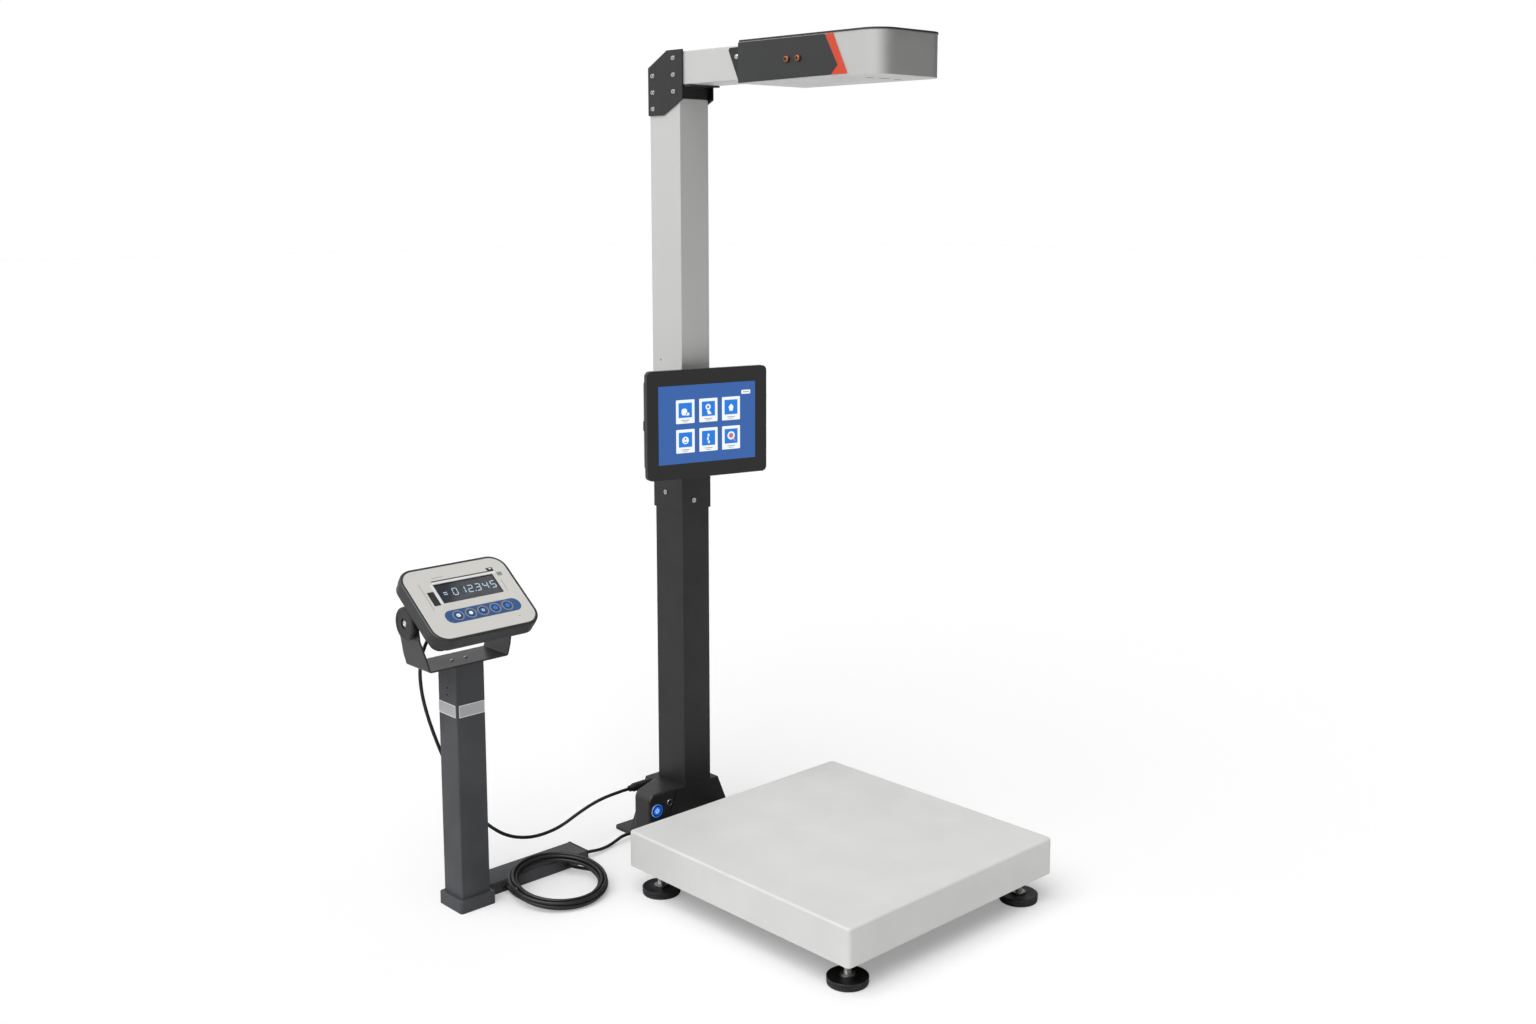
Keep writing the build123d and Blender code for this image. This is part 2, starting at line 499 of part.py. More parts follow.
# Measuring head: wrapped band, lid and tray with the lens openings
with BuildPart() as head_band:
    with BuildSketch(Plane.XY.offset(head_bottom)) as band_plan:
        with Locations((mast_x, (head_rear_y + head_front_y) / 2)):
            Rectangle(head_width, head_rear_y - head_front_y)
        fillet(band_plan.vertices().group_by(Axis.Y)[0], head_corner_r)
    extrude(amount=head_top - head_bottom)
    with BuildSketch(Plane.XY.offset(head_bottom)) as band_bore:
        with Locations((mast_x, (head_rear_y + head_front_y) / 2)):
            Rectangle(head_width - 2 * head_wall, head_rear_y - head_front_y - 2 * head_wall)
        fillet(band_bore.vertices().group_by(Axis.Y)[0], head_corner_r - head_wall)
    extrude(amount=head_top - head_bottom, mode=Mode.SUBTRACT)
save(head_band, "head_band")

with BuildPart() as head_lid:
    with BuildSketch(Plane.XY.offset(head_top)) as lid_plan:
        with Locations((mast_x, (head_rear_y - lid_overhang + head_front_y) / 2)):
            Rectangle(head_width + 2 * lid_overhang, head_rear_y - head_front_y + lid_overhang)
        fillet(lid_plan.vertices().group_by(Axis.Y)[0], head_corner_r + lid_overhang)
        fillet(lid_plan.vertices().group_by(Axis.Y)[-1], 3)
    extrude(amount=lid_thick)
    fillet(head_lid.faces().sort_by(Axis.Z)[-1].edges(), 1)
save(head_lid, "head_lid")

lens_spots = [(mast_x + lens_shift + x, mast_y + sensor_y) for x, r in lens_places]
with BuildPart() as head_tray:
    with BuildSketch(Plane.XY.offset(head_bottom)) as tray_plan:
        with Locations((mast_x, (head_rear_y + head_front_y) / 2)):
            Rectangle(head_width - 2 * head_wall - tray_gap,
                      head_rear_y - head_front_y - 2 * head_wall - tray_gap)
        fillet(tray_plan.vertices().group_by(Axis.Y)[0], head_corner_r - head_wall - tray_gap / 2)
    extrude(amount=tray_thick)
    for (x, y), (offset_x, r) in zip(lens_spots, lens_places):
        with Locations((x, y, head_bottom)):
            Cylinder(r + lens_gap, 3 * tray_thick, mode=Mode.SUBTRACT)
save(head_tray, "head_tray")

# Depth sensor inside the head: its three lens barrels look down through the tray
with BuildPart() as sensor_module:
    with BuildSketch(Plane.XY.offset(head_bottom + tray_thick + 0.3)):
        with Locations((mast_x + lens_shift, mast_y + sensor_y)):
            RectangleRounded(sensor_width, sensor_depth, 8)
    extrude(amount=sensor_height)
    for (x, y), (offset_x, r) in zip(lens_spots, lens_places):
        with Locations((x, y, head_bottom + 0.4)):
            Cylinder(r, tray_thick + 2, align=(Align.CENTER, Align.CENTER, Align.MIN))
save(sensor_module, "sensor_module")

# Black side plates of the head, with an orange wedge along the pointed front edge
side_outline = [(head_rear_y, head_bottom + side_plate_margin),
                (mast_y + plate_low_y, head_bottom + side_plate_margin + side_plate_lift),
                (mast_y + plate_nose_y, side_plate_nose_z),
                (mast_y + plate_high_y, head_top - side_plate_margin),
                (head_rear_y, head_top - side_plate_margin)]
with BuildPart() as head_side_plates:
    for side in (-1, 1):
        with BuildSketch(Plane.YZ.offset(mast_x + side * head_half)):
            with BuildLine():
                Polyline(*side_outline, close=True)
            make_face()
        extrude(amount=side * side_plate_thick)
    for outer in (0, -1):
        chamfer(head_side_plates.faces().filter_by(Axis.X).sort_by(Axis.X)[outer].edges(), side_plate_edge)
save(head_side_plates, "head_side_plates")

accent_outline = [(mast_y + plate_high_y, head_top - side_plate_margin),
                  (mast_y + plate_nose_y, side_plate_nose_z),
                  (mast_y + plate_low_y, head_bottom + side_plate_margin + side_plate_lift),
                  (mast_y + accent_low_y, head_bottom + side_plate_margin + side_plate_lift),
                  (mast_y + accent_high_y, head_top - side_plate_margin)]
with BuildPart() as head_accents:
    for side in (-1, 1):
        with BuildSketch(Plane.YZ.offset(mast_x + side * head_half)):
            with BuildLine():
                Polyline(*accent_outline, close=True)
            make_face()
        extrude(amount=side * accent_thick)
save(head_accents, "head_accents")

# Plates that carry the head on the arm's sides
with BuildPart() as head_mount_plates:
    for side in (-1, 1):
        with BuildSketch(Plane.YZ.offset(mast_x + side * upper_x / 2)):
            with BuildLine():
                Polyline((head_rear_y, arm_bottom + mount_plate_margin),
                         (head_rear_y + mount_plate_low, arm_bottom + mount_plate_margin),
                         (head_rear_y + mount_plate_high, arm_top - mount_plate_drop),
                         (head_rear_y, arm_top - mount_plate_drop), close=True)
            make_face()
        extrude(amount=side * mount_plate_thick)
    fillet(head_mount_plates.edges().filter_by(Axis.X).group_by(Axis.Y)[-1], mount_plate_r)
    with BuildSketch(Plane.XZ.offset(-head_rear_y)):
        with Locations((mast_x, (arm_bottom + arm_top) / 2)):
            Rectangle(mount_plate_width, arm_height - 2 * mount_plate_margin)
            Rectangle(upper_x, arm_height, mode=Mode.SUBTRACT)
    extrude(amount=-mount_plate_thick)
save(head_mount_plates, "head_mount_plates")

# Tablet bracket: a plate on the mast with two lugs and the upright hinge pin
swivel_y = mast_front - swivel_back
swivel_top = tablet_z + swivel_height / 2
with BuildPart() as tablet_bracket:
    with Locations((mast_x, mast_front - bracket_plate / 2, tablet_z)):
        Box(bracket_plate_x, bracket_plate, bracket_plate_z)
    for low in (swivel_top + hinge_gap, tablet_z - swivel_height / 2 - hinge_gap - swivel_lug):
        with BuildSketch(Plane.XY.offset(low)):
            with Locations((mast_x, swivel_y)):
                Circle(swivel_lug_r)
            with Locations((mast_x, (swivel_y + mast_front) / 2)):
                Rectangle(2 * swivel_lug_r, swivel_back)
        extrude(amount=swivel_lug)
    with Locations((mast_x, swivel_y, tablet_z)):
        Cylinder(hinge_pin_r, swivel_height + 2 * swivel_lug + 2 * hinge_gap + 3)
save(tablet_bracket, "tablet_bracket")

# Tablet, built on its own front plane, which is turned towards the operator's left
tablet_turn = radians(tablet_swivel)
tablet_plane = Plane(origin=(mast_x + tablet_x, mast_y + tablet_front, tablet_z),
                     x_dir=(cos(tablet_turn), sin(tablet_turn), 0),
                     z_dir=(sin(tablet_turn), -cos(tablet_turn), 0))
swivel_local = tablet_plane.to_local_coords(Vector(mast_x, swivel_y, tablet_z))
tilt_depth = tablet_depth + tilt_gap
with BuildPart() as tablet_glass_plate:
    with BuildSketch(tablet_plane.offset(-tablet_glass)):
        RectangleRounded(tablet_width, tablet_height, tablet_corner_r)
    extrude(amount=tablet_glass)
    fillet(tablet_glass_plate.faces().sort_by(Axis.Y)[0].edges(), 0.8)
save(tablet_glass_plate, "tablet_glass")

with BuildPart() as tablet_shell:
    with BuildSketch(tablet_plane.offset(-shell_step)):
        RectangleRounded(tablet_width, tablet_height, tablet_corner_r)
    extrude(amount=shell_step - tablet_glass)
    with BuildSketch(tablet_plane.offset(-shell_step)):
        RectangleRounded(tablet_width - 2 * shell_inset_x, tablet_height - 2 * shell_inset_y, tablet_corner_r)
    extrude(amount=-(tablet_depth - shell_step), taper=8)
    with BuildSketch(tablet_plane.offset(-tablet_depth)):
        with Locations((swivel_local.X, 0)):
            Rectangle(ear_plate_x, ear_plate_z)
    extrude(amount=-ear_plate_thick)
    for side in (-1, 1):
        ear_low = swivel_local.X + side * (tilt_length / 2 + hinge_gap)
        with BuildSketch(Plane(origin=tablet_plane.from_local_coords((ear_low, 0, -tilt_depth)),
                               x_dir=(0, 0, 1), z_dir=tablet_plane.x_dir)):
            Circle(swivel_lug_r)
        extrude(amount=side * tilt_lug)
        with Locations(Location(Plane(origin=tablet_plane.from_local_coords(
                (ear_low + side * tilt_lug / 2, 0, -tilt_depth + tilt_gap / 2)),
                x_dir=tablet_plane.x_dir, z_dir=tablet_plane.z_dir))):
            Box(tilt_lug, 2 * swivel_lug_r, tilt_gap)
    pin_start = tablet_plane.from_local_coords((swivel_local.X - tilt_length / 2 - hinge_gap, 0, -tilt_depth))
    with BuildSketch(Plane(origin=pin_start, x_dir=(0, 0, 1), z_dir=tablet_plane.x_dir)):
        Circle(tilt_pin_r)
    extrude(amount=tilt_length + 2 * hinge_gap)
    with Locations(Location(Plane(origin=tablet_plane.from_local_coords(
            (-tablet_width / 2 + shell_inset_x, 0, -side_key_depth)),
            x_dir=tablet_plane.x_dir, z_dir=tablet_plane.z_dir))):
        Box(2 * side_key_seat, side_key_length + 2 * side_key_gap, side_key_width + 2 * side_key_gap,
            mode=Mode.SUBTRACT)
save(tablet_shell, "tablet_shell")

with BuildPart() as tablet_yoke:
    with BuildSketch(Plane.XY.offset(tablet_z - swivel_height / 2)):
        with Locations((mast_x, swivel_y)):
            Circle(swivel_r)
    extrude(amount=swivel_height)
    barrel_start = tablet_plane.from_local_coords((swivel_local.X - tilt_length / 2, 0, -tilt_depth))
    with BuildSketch(Plane(origin=barrel_start, x_dir=(0, 0, 1), z_dir=tablet_plane.x_dir)):
        Circle(tilt_r)
    extrude(amount=tilt_length)
    with BuildSketch(Plane(origin=barrel_start, x_dir=(0, 0, 1), z_dir=tablet_plane.x_dir)):
        Circle(tilt_pin_r + pin_gap)
    extrude(amount=tilt_length, mode=Mode.SUBTRACT)
    with Locations((mast_x, swivel_y, tablet_z)):
        Cylinder(hinge_pin_r + pin_gap, swivel_height + 2, mode=Mode.SUBTRACT)
save(tablet_yoke, "tablet_yoke")

with BuildPart() as tablet_button:
    key_middle = -tablet_width / 2 + shell_inset_x + (side_key_seat - side_key_travel - 0.5 - side_key_proud) / 2
    with Locations(Location(Plane(origin=tablet_plane.from_local_coords((key_middle, 0, -side_key_depth)),
                                  x_dir=tablet_plane.x_dir, z_dir=tablet_plane.z_dir))):
        Box(side_key_seat - side_key_travel - 0.5 + side_key_proud, side_key_length, side_key_width)
    fillet(tablet_button.faces().sort_by(Axis.X)[0].edges(), 0.8)
save(tablet_button, "tablet_button")

# Indicator stand: post in its shoe, with the flat bar that steadies it and carries the lead
with BuildPart() as post_tube:
    with BuildSketch(Plane.XY.offset(shoe_floor)):
        with Locations((post_x, post_y)):
            RectangleRounded(post_width, post_width, tube_corner_r)
            RectangleRounded(post_width - 2 * post_wall, post_width - 2 * post_wall, tube_corner_r - 1,
                             mode=Mode.SUBTRACT)
    extrude(amount=post_top - shoe_floor)
    for z in (post_top - post_hole_drop, post_top - post_hole_drop + post_hole_pitch):
        with Locations(Plane(origin=(post_x - post_width / 2, post_y, z), x_dir=(0, 1, 0), z_dir=(-1, 0, 0))):
            Hole(post_hole_r, depth=2 * post_wall)
save(post_tube, "post_tube")

shoe_half = post_width / 2 + shoe_extra
with BuildPart() as post_shoe:
    with BuildSketch(Plane.XY):
        with Locations((post_x, post_y)):
            RectangleRounded(2 * shoe_half, 2 * shoe_half, 5)
    extrude(amount=shoe_height)
    fillet(post_shoe.faces().sort_by(Axis.Z)[-1].edges(), 2)
    with BuildSketch(Plane.XY.offset(shoe_floor)):
        with Locations((post_x, post_y)):
            Rectangle(post_width, post_width)
    extrude(amount=shoe_height, mode=Mode.SUBTRACT)
save(post_shoe, "post_shoe")

bar_left = post_x + shoe_half
bar_y = bar_front + bar_width / 2
with BuildPart() as foot_bar:
    with BuildSketch(Plane.YZ.offset(bar_left)):
        with Locations((bar_y, bar_height / 2)):
            RectangleRounded(bar_width, bar_height, 2)
            Rectangle(bar_width - 2 * bar_wall, bar_height - 2 * bar_wall, mode=Mode.SUBTRACT)
    extrude(amount=bar_right - plug_thick - bar_left)
save(foot_bar, "foot_bar")

with BuildPart() as bar_end_plug:
    with BuildSketch(Plane.YZ.offset(bar_right - plug_thick)):
        with Locations((bar_y, (bar_height + plug_proud) / 2)):
            RectangleRounded(bar_width + 2 * plug_proud, bar_height + plug_proud, 2)
    extrude(amount=plug_thick)
    with BuildSketch(Plane.YZ.offset(bar_right - plug_thick)):
        with Locations((bar_y, bar_height / 2)):
            Rectangle(bar_width - 2 * bar_wall, bar_height - 2 * bar_wall)
    extrude(amount=-plug_reach)
save(bar_end_plug, "bar_end_plug")

# Bent sheet yoke that holds the indicator between its two arms
low_half, high_half = yoke_half, pivot_half
yoke_top = pivot_z + yoke_arm_r
flare = atan2(high_half - low_half, yoke_flare_top - post_top)
inner_low = low_half - yoke_sheet * (1 - sin(flare)) / cos(flare)
inner_flare_top = yoke_flare_top + yoke_sheet * tan(flare / 2)
with BuildPart() as u_bracket:
    with BuildSketch(Plane.XZ.offset(-yoke_front)):
        with BuildLine() as yoke_line:
            Polyline((post_x - high_half, yoke_top), (post_x - high_half, yoke_flare_top),
                     (post_x - low_half, post_top), (post_x + low_half, post_top),
                     (post_x + high_half, yoke_flare_top), (post_x + high_half, yoke_top),
                     (post_x + high_half - yoke_sheet, yoke_top),
                     (post_x + high_half - yoke_sheet, inner_flare_top),
                     (post_x + inner_low, post_top + yoke_sheet), (post_x - inner_low, post_top + yoke_sheet),
                     (post_x - high_half + yoke_sheet, inner_flare_top),
                     (post_x - high_half + yoke_sheet, yoke_top), close=True)
        make_face()
    extrude(amount=-(yoke_rear - yoke_front))
    fillet(u_bracket.edges().filter_by(Axis.Y).group_by(Axis.Z)[1], yoke_bend_r - yoke_sheet)
    fillet(u_bracket.edges().filter_by(Axis.Y).group_by(Axis.Z)[0], yoke_bend_r)
    with BuildSketch(Plane.YZ.offset(post_x - high_half - yoke_sheet)):
        with BuildLine():
            Polyline((pivot_y - yoke_arm_r, pivot_z), (yoke_front, post_top + yoke_shoulder),
                     (yoke_front, post_top - 1), (yoke_rear, post_top - 1),
                     (yoke_rear, post_top + yoke_shoulder), (pivot_y + yoke_arm_r, pivot_z))
            ThreePointArc((pivot_y + yoke_arm_r, pivot_z), (pivot_y, pivot_z + yoke_arm_r),
                          (pivot_y - yoke_arm_r, pivot_z))
        make_face()
    extrude(amount=2 * (high_half + yoke_sheet), mode=Mode.INTERSECT)
    with Locations(Plane(origin=(post_x, pivot_y, pivot_z), x_dir=(0, 1, 0), z_dir=(1, 0, 0))):
        Cylinder(knob_stud_r + knob_gap, 2 * (high_half + yoke_sheet), mode=Mode.SUBTRACT)
save(u_bracket, "u_bracket")

# Indicator, built on the plane of its face
lean = radians(face_tilt)
face_out = Vector(0, -sin(lean), cos(lean))
face_up = Vector(0, cos(lean), sin(lean))
face_middle = Vector(post_x, pivot_y, pivot_z) + face_out * face_before_pivot - face_up * face_below_pivot
face_plane = Plane(origin=face_middle, x_dir=(1, 0, 0), z_dir=face_out)
rear_width, rear_height = face_width - 2 * rear_inset, face_height - 2 * rear_inset
with BuildPart() as indicator_case:
    with BuildSketch(face_plane.offset(-rim_depth)):
        RectangleRounded(face_width - 2, face_height - 2, face_corner_r - 1)
    extrude(amount=rim_depth / 2)
    with BuildSketch(face_plane.offset(-rim_depth)):
        RectangleRounded(rear_width, rear_height, face_corner_r - 6)
    extrude(amount=-rear_depth, taper=rear_taper)
    boss_end = pivot_half - yoke_sheet - boss_gap
    with Locations(*[Plane(origin=(post_x + side * (boss_start + boss_end) / 2, pivot_y, pivot_z),
                           x_dir=(0, 1, 0), z_dir=(1, 0, 0)) for side in (-1, 1)]):
        Cylinder(boss_r, boss_end - boss_start)
        Cylinder(knob_stud_r, boss_end - boss_start + 1, mode=Mode.SUBTRACT)
save(indicator_case, "indicator_case")

with BuildPart() as indicator_face:
    with BuildSketch(face_plane.offset(-rim_depth / 2)):
        RectangleRounded(face_width, face_height, face_corner_r)
    extrude(amount=rim_depth / 2)
    fillet(indicator_face.faces().sort_by(Axis(face_middle, face_out))[-1].edges(), 3)
    with BuildSketch(face_plane.offset(-overlay_recess)):
        RectangleRounded(face_width - 2 * rim_width, face_height - 2 * rim_width, face_corner_r - rim_width)
    extrude(amount=overlay_recess, mode=Mode.SUBTRACT)
    with BuildSketch(face_plane.offset(-overlay_recess - 3)):
        with Locations((window_x, window_y)):
            Rectangle(window_width, window_height)
        with Locations(*[(key_x + (k - (key_count - 1) / 2) * key_pitch, key_y) for k in range(key_count)]):
            Circle(key_r + key_gap)
    extrude(amount=3 + overlay_recess, mode=Mode.SUBTRACT)
save(indicator_face, "indicator_face")

with BuildPart() as indicator_display:
    with BuildSketch(face_plane.offset(-overlay_recess - 3)):
        with Locations((window_x, window_y)):
            Rectangle(window_width - 0.4, window_height - 0.4)
    extrude(amount=2.6)
save(indicator_display, "indicator_display")

for k in range(key_count):
    with BuildPart() as key:
        with BuildSketch(face_plane.offset(-overlay_recess - 3 + key_travel + 0.4)):
            with Locations((key_x + (k - (key_count - 1) / 2) * key_pitch, key_y)):
                Circle(key_r)
        extrude(amount=3 - key_travel - 0.4 + key_proud)
        fillet(key.faces().sort_by(Axis(face_middle, face_out))[-1].edges(), 0.5)
    save(key, "key_" + str(k + 1))

with BuildPart() as indicator_gland:
    with BuildSketch(face_plane.offset(-rim_depth - rear_depth)):
        with Locations((case_gland_x, case_gland_y)):
            Circle(case_gland_r)
    extrude(amount=-case_gland_length * 0.45)
    with BuildSketch(face_plane.offset(-rim_depth - rear_depth - case_gland_length * 0.45)):
        with Locations((case_gland_x, case_gland_y)):
            Circle(case_gland_r - 0.8)
    extrude(amount=-case_gland_length * 0.55, taper=10)
save(indicator_gland, "indicator_gland")

for side, name in ((-1, "knob_left"), (1, "knob_right")):
    inner = pivot_half + knob_gap
    with BuildPart() as knob:
        with BuildSketch(Plane(origin=(post_x + side * inner, pivot_y, pivot_z),
                               x_dir=(0, 1, 0), z_dir=(side, 0, 0))):
            Circle(knob_r)
        extrude(amount=knob_thick)
        fillet(knob.edges().filter_by(GeomType.CIRCLE), 1.6)
        with BuildSketch(Plane(origin=(post_x + side * (inner + knob_thick - 1.5), pivot_y, pivot_z),
                               x_dir=(0, 1, 0), z_dir=(side, 0, 0))):
            Circle(knob_hub_r)
        extrude(amount=1.5, mode=Mode.SUBTRACT)
        with BuildSketch(Plane(origin=(post_x + side * inner, pivot_y, pivot_z),
                               x_dir=(0, 1, 0), z_dir=(side, 0, 0))):
            Circle(knob_stud_r - pin_gap)
        extrude(amount=-(yoke_sheet + boss_gap + knob_gap + 12))
    save(knob, name)


def tube(points, radius):
    """Round lead along straight runs joined by the largest arcs that fit them."""
    radii = []
    for before, here, after in zip(points, points[1:], points[2:]):
        run_in, run_out = Vector(*here) - Vector(*before), Vector(*after) - Vector(*here)
        half_turn = radians(run_in.get_angle(run_out)) / 2
        radii.append(0.45 * min(run_in.length, run_out.length) / tan(half_turn))
    with BuildPart() as lead:
        with BuildLine() as path:
            FilletPolyline(*points, radius=radii)
        start = Vector(*points[1]) - Vector(*points[0])
        with BuildSketch(Plane(origin=points[0], z_dir=start)):
            Circle(radius)
        sweep(path=path.wires()[0])
    length = path.wires()[0].length
    print("lead length", round(length, 1), "volume ratio", round(lead.part.volume / (pi * radius ** 2 * length), 4),
          "smallest radius", round(min(radii), 1), "radii", [round(r) for r in radii])
    return lead


# Indicator lead: out of the case, down behind the post and across to the plug on the mast foot
gland_tip = face_plane.from_local_coords((case_gland_x, case_gland_y, -rim_depth - rear_depth - case_gland_length))
gland_out = gland_tip - face_out * 18
indicator_lead_points = [
    (gland_tip.X, gland_tip.Y, gland_tip.Z), (gland_out.X, gland_out.Y, gland_out.Z),
    (-352, 341, 437), (-354, 347, 405), (-351, 348, 368), (-343, 347, 330), (-332, 345, 292),
    (-318, 343, 252), (-303, 341, 212), (-284, 339, 172), (-260, 337, 134), (-231, 335, 102),
    (-200, 332, 78), (-163, 330, 64), (-126, 329, 60), (-86, 329, 64), (-45, 329, 79),
    (-6, 328.5, 90), (33, plug_y, plug_z), (plug_end, plug_y, plug_z)]
save(tube(indicator_lead_points, lead_r), "indicator_lead")

# Mast lead: from the end of the foot bar to the low gland on the mast foot
mast_lead_points = [(bar_right, 305, tail_z), (-42, 305, tail_z), (-20, 305.5, 7), (6, 310, 5.5),
                    (30, 316, 8), (46, foot_gland_y, foot_gland_z), (foot_gland_end, foot_gland_y, foot_gland_z)]
save(tube(mast_lead_points, lead_r), "mast_lead")

# Plug and gland on the left flank of the mast foot
flank = [(mast_x - foot_low_half, sole_thick), (mast_x - mast_foot_top_half, mast_foot_top),
         (mast_x, mast_foot_top), (mast_x, sole_thick)]
for name, x, y, z, r, nose in (("lead_plug", plug_end, plug_y, plug_z, plug_r, plug_nose),
                               ("foot_gland", foot_gland_end, foot_gland_y, foot_gland_z, foot_gland_r, foot_gland_nose)):
    with BuildPart() as piece:
        with BuildSketch(Plane.YZ.offset(x + nose)):
            with Locations((y, z)):
                Circle(r)
        extrude(amount=mast_x - x - nose)
        with BuildSketch(Plane.YZ.offset(x + nose)):
            with Locations((y, z)):
                Circle(r - 1)
        extrude(amount=-nose, taper=8)
        with BuildSketch(Plane.XZ.offset(-(y - 2 * r))):
            with BuildLine():
                Polyline(*flank, close=True)
            make_face()
        extrude(amount=-4 * r, mode=Mode.SUBTRACT)
    save(piece, name)

# Spare length of the lead: a loose coil on the floor that leans on the bar
coil_lean = atan2(bar_height, bar_front - coil_y + coil_outer)
coil_plane = Plane(origin=(coil_x, coil_y, coil_lift + coil_outer * sin(coil_lean)), x_dir=(1, 0, 0),
                   z_dir=(0, -sin(coil_lean), cos(coil_lean)))
with BuildPart() as spare_coil:
    with BuildSketch(coil_plane):
        Circle(coil_outer)
        Circle(coil_inner, mode=Mode.SUBTRACT)
    extrude(amount=coil_height)
    fillet(spare_coil.edges().filter_by(GeomType.CIRCLE), 4)
save(spare_coil, "spare_coil")

coil_mid = (coil_outer + coil_inner) / 2
with BuildPart() as coil_tails:
    for side in (-1, 1):
        x = coil_x + side * coil_mid
        tail = tube([(x - side * 12, bar_front, tail_z), (x - side * 12, bar_front - 15, tail_z),
                     (x - side * 4, bar_front - 37, tail_z + 1.5), (x, bar_front - 55, tail_z + 5),
                     (x + side * 0.5, bar_front - 66, tail_z + 8)], lead_r)
        add(tail.part)
save(coil_tails, "coil_tails")
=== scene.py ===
import bpy
import bmesh
from math import atan2, cos, pi, radians, sin, tan
from mathutils import Matrix, Vector


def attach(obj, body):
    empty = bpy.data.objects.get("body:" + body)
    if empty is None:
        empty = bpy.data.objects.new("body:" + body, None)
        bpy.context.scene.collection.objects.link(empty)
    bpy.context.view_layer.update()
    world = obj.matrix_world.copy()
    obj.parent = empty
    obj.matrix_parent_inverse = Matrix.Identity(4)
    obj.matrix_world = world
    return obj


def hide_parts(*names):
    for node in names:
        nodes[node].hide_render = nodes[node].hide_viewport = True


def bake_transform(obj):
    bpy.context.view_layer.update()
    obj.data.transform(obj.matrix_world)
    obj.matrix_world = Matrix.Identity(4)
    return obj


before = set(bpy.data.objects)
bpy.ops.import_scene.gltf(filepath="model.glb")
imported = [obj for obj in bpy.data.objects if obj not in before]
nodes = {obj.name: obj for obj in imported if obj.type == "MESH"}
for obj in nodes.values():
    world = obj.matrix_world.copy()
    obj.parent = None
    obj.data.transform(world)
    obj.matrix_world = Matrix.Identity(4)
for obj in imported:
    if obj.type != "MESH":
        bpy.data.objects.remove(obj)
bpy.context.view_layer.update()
mm = 0.001
print("frame loaded:", len(nodes), "nodes")


# Camera, as the photograph was taken, and plain studio light

camera = {"eye": (-1.702, -1.909, 1.185), "lookDown": 0.151, "turn": 0.761, "lens": 37.36, "shiftY": -0.047}
lens = bpy.data.cameras.new("studioCamera")
lens.lens = camera["lens"]
lens.sensor_width = 36.0
lens.shift_y = camera["shiftY"]
lens.clip_end = 40.0
cameraObject = bpy.data.objects.new("studioCamera", lens)
cameraObject.location = camera["eye"]
cameraObject.rotation_euler = (pi / 2 - camera["lookDown"], 0, -camera["turn"])
bpy.context.scene.collection.objects.link(cameraObject)
bpy.context.scene.camera = cameraObject


def linear(hexColour, alpha=1.0):  # sRGB hex to the linear colour that the shaders take
    parts = [int(hexColour[i:i + 2], 16) / 255 for i in (1, 3, 5)]
    return tuple(p / 12.92 if p <= 0.04045 else ((p + 0.055) / 1.055) ** 2.4 for p in parts) + (alpha,)


def addNode(tree, kind, settings=None, links=None):  # one node with its settings and the links into it
    made = tree.nodes.new(kind)
    for key, value in (settings or {}).items():
        if isinstance(key, str) and hasattr(made, key):
            setattr(made, key, value)
        else:
            made.inputs[key].default_value = value
    for key, socket in (links or {}).items():
        tree.links.new(socket, made.inputs[key])
    return made


studio = {"ambient": 0.30, "sunFrom": (-0.37, -0.09, 0.61), "sunStrength": 2.25, "sunAngle": 1.0,
          "brightSide": (-0.80, 0.45, 0.30), "darkest": 0.10, "brightest": 1.05,
          "floorWhite": 0.80, "floorLift": 0.28}


def makeWorld():  # pale surroundings: white to the camera, a bright side and a dark side to gloss
    world = bpy.data.worlds.new("studioWorld")
    world.use_nodes = True
    tree = world.node_tree
    tree.nodes.clear()
    direction = addNode(tree, "ShaderNodeTexCoord")
    side = addNode(tree, "ShaderNodeVectorMath", {"operation": "DOT_PRODUCT",
                   1: Vector(studio["brightSide"]).normalized()}, {0: direction.outputs["Generated"]})
    ramp = addNode(tree, "ShaderNodeMapRange", {"interpolation_type": "SMOOTHSTEP", "From Min": -0.75, "From Max": 0.75,
                   "To Min": studio["darkest"], "To Max": studio["brightest"]}, {"Value": side.outputs["Value"]})
    path = addNode(tree, "ShaderNodeLightPath")
    dim = addNode(tree, "ShaderNodeBackground", {"Color": (1, 1, 1, 1), "Strength": studio["ambient"]})
    gloss = addNode(tree, "ShaderNodeBackground", {"Color": (1, 1, 1, 1)}, {"Strength": ramp.outputs["Result"]})
    white = addNode(tree, "ShaderNodeBackground", {"Color": (1, 1, 1, 1), "Strength": 1.0})
    glossy = addNode(tree, "ShaderNodeMixShader", {}, {0: path.outputs["Is Glossy Ray"], 1: dim.outputs[0], 2: gloss.outputs[0]})
    seen = addNode(tree, "ShaderNodeMath", {"operation": "MAXIMUM"},
                   {0: path.outputs["Is Camera Ray"], 1: path.outputs["Is Transmission Ray"]})
    both = addNode(tree, "ShaderNodeMixShader", {}, {0: seen.outputs[0], 1: glossy.outputs[0], 2: white.outputs[0]})
    addNode(tree, "ShaderNodeOutputWorld", {}, {"Surface": both.outputs[0]})
    bpy.context.scene.world = world


def makeSun():
    sun = bpy.data.lights.new("softSun", "SUN")
    sun.energy = studio["sunStrength"]
    sun.angle = studio["sunAngle"]
    sunObject = bpy.data.objects.new("softSun", sun)
    sunObject.rotation_euler = Vector(studio["sunFrom"]).to_track_quat("Z", "Y").to_euler()
    bpy.context.scene.collection.objects.link(sunObject)


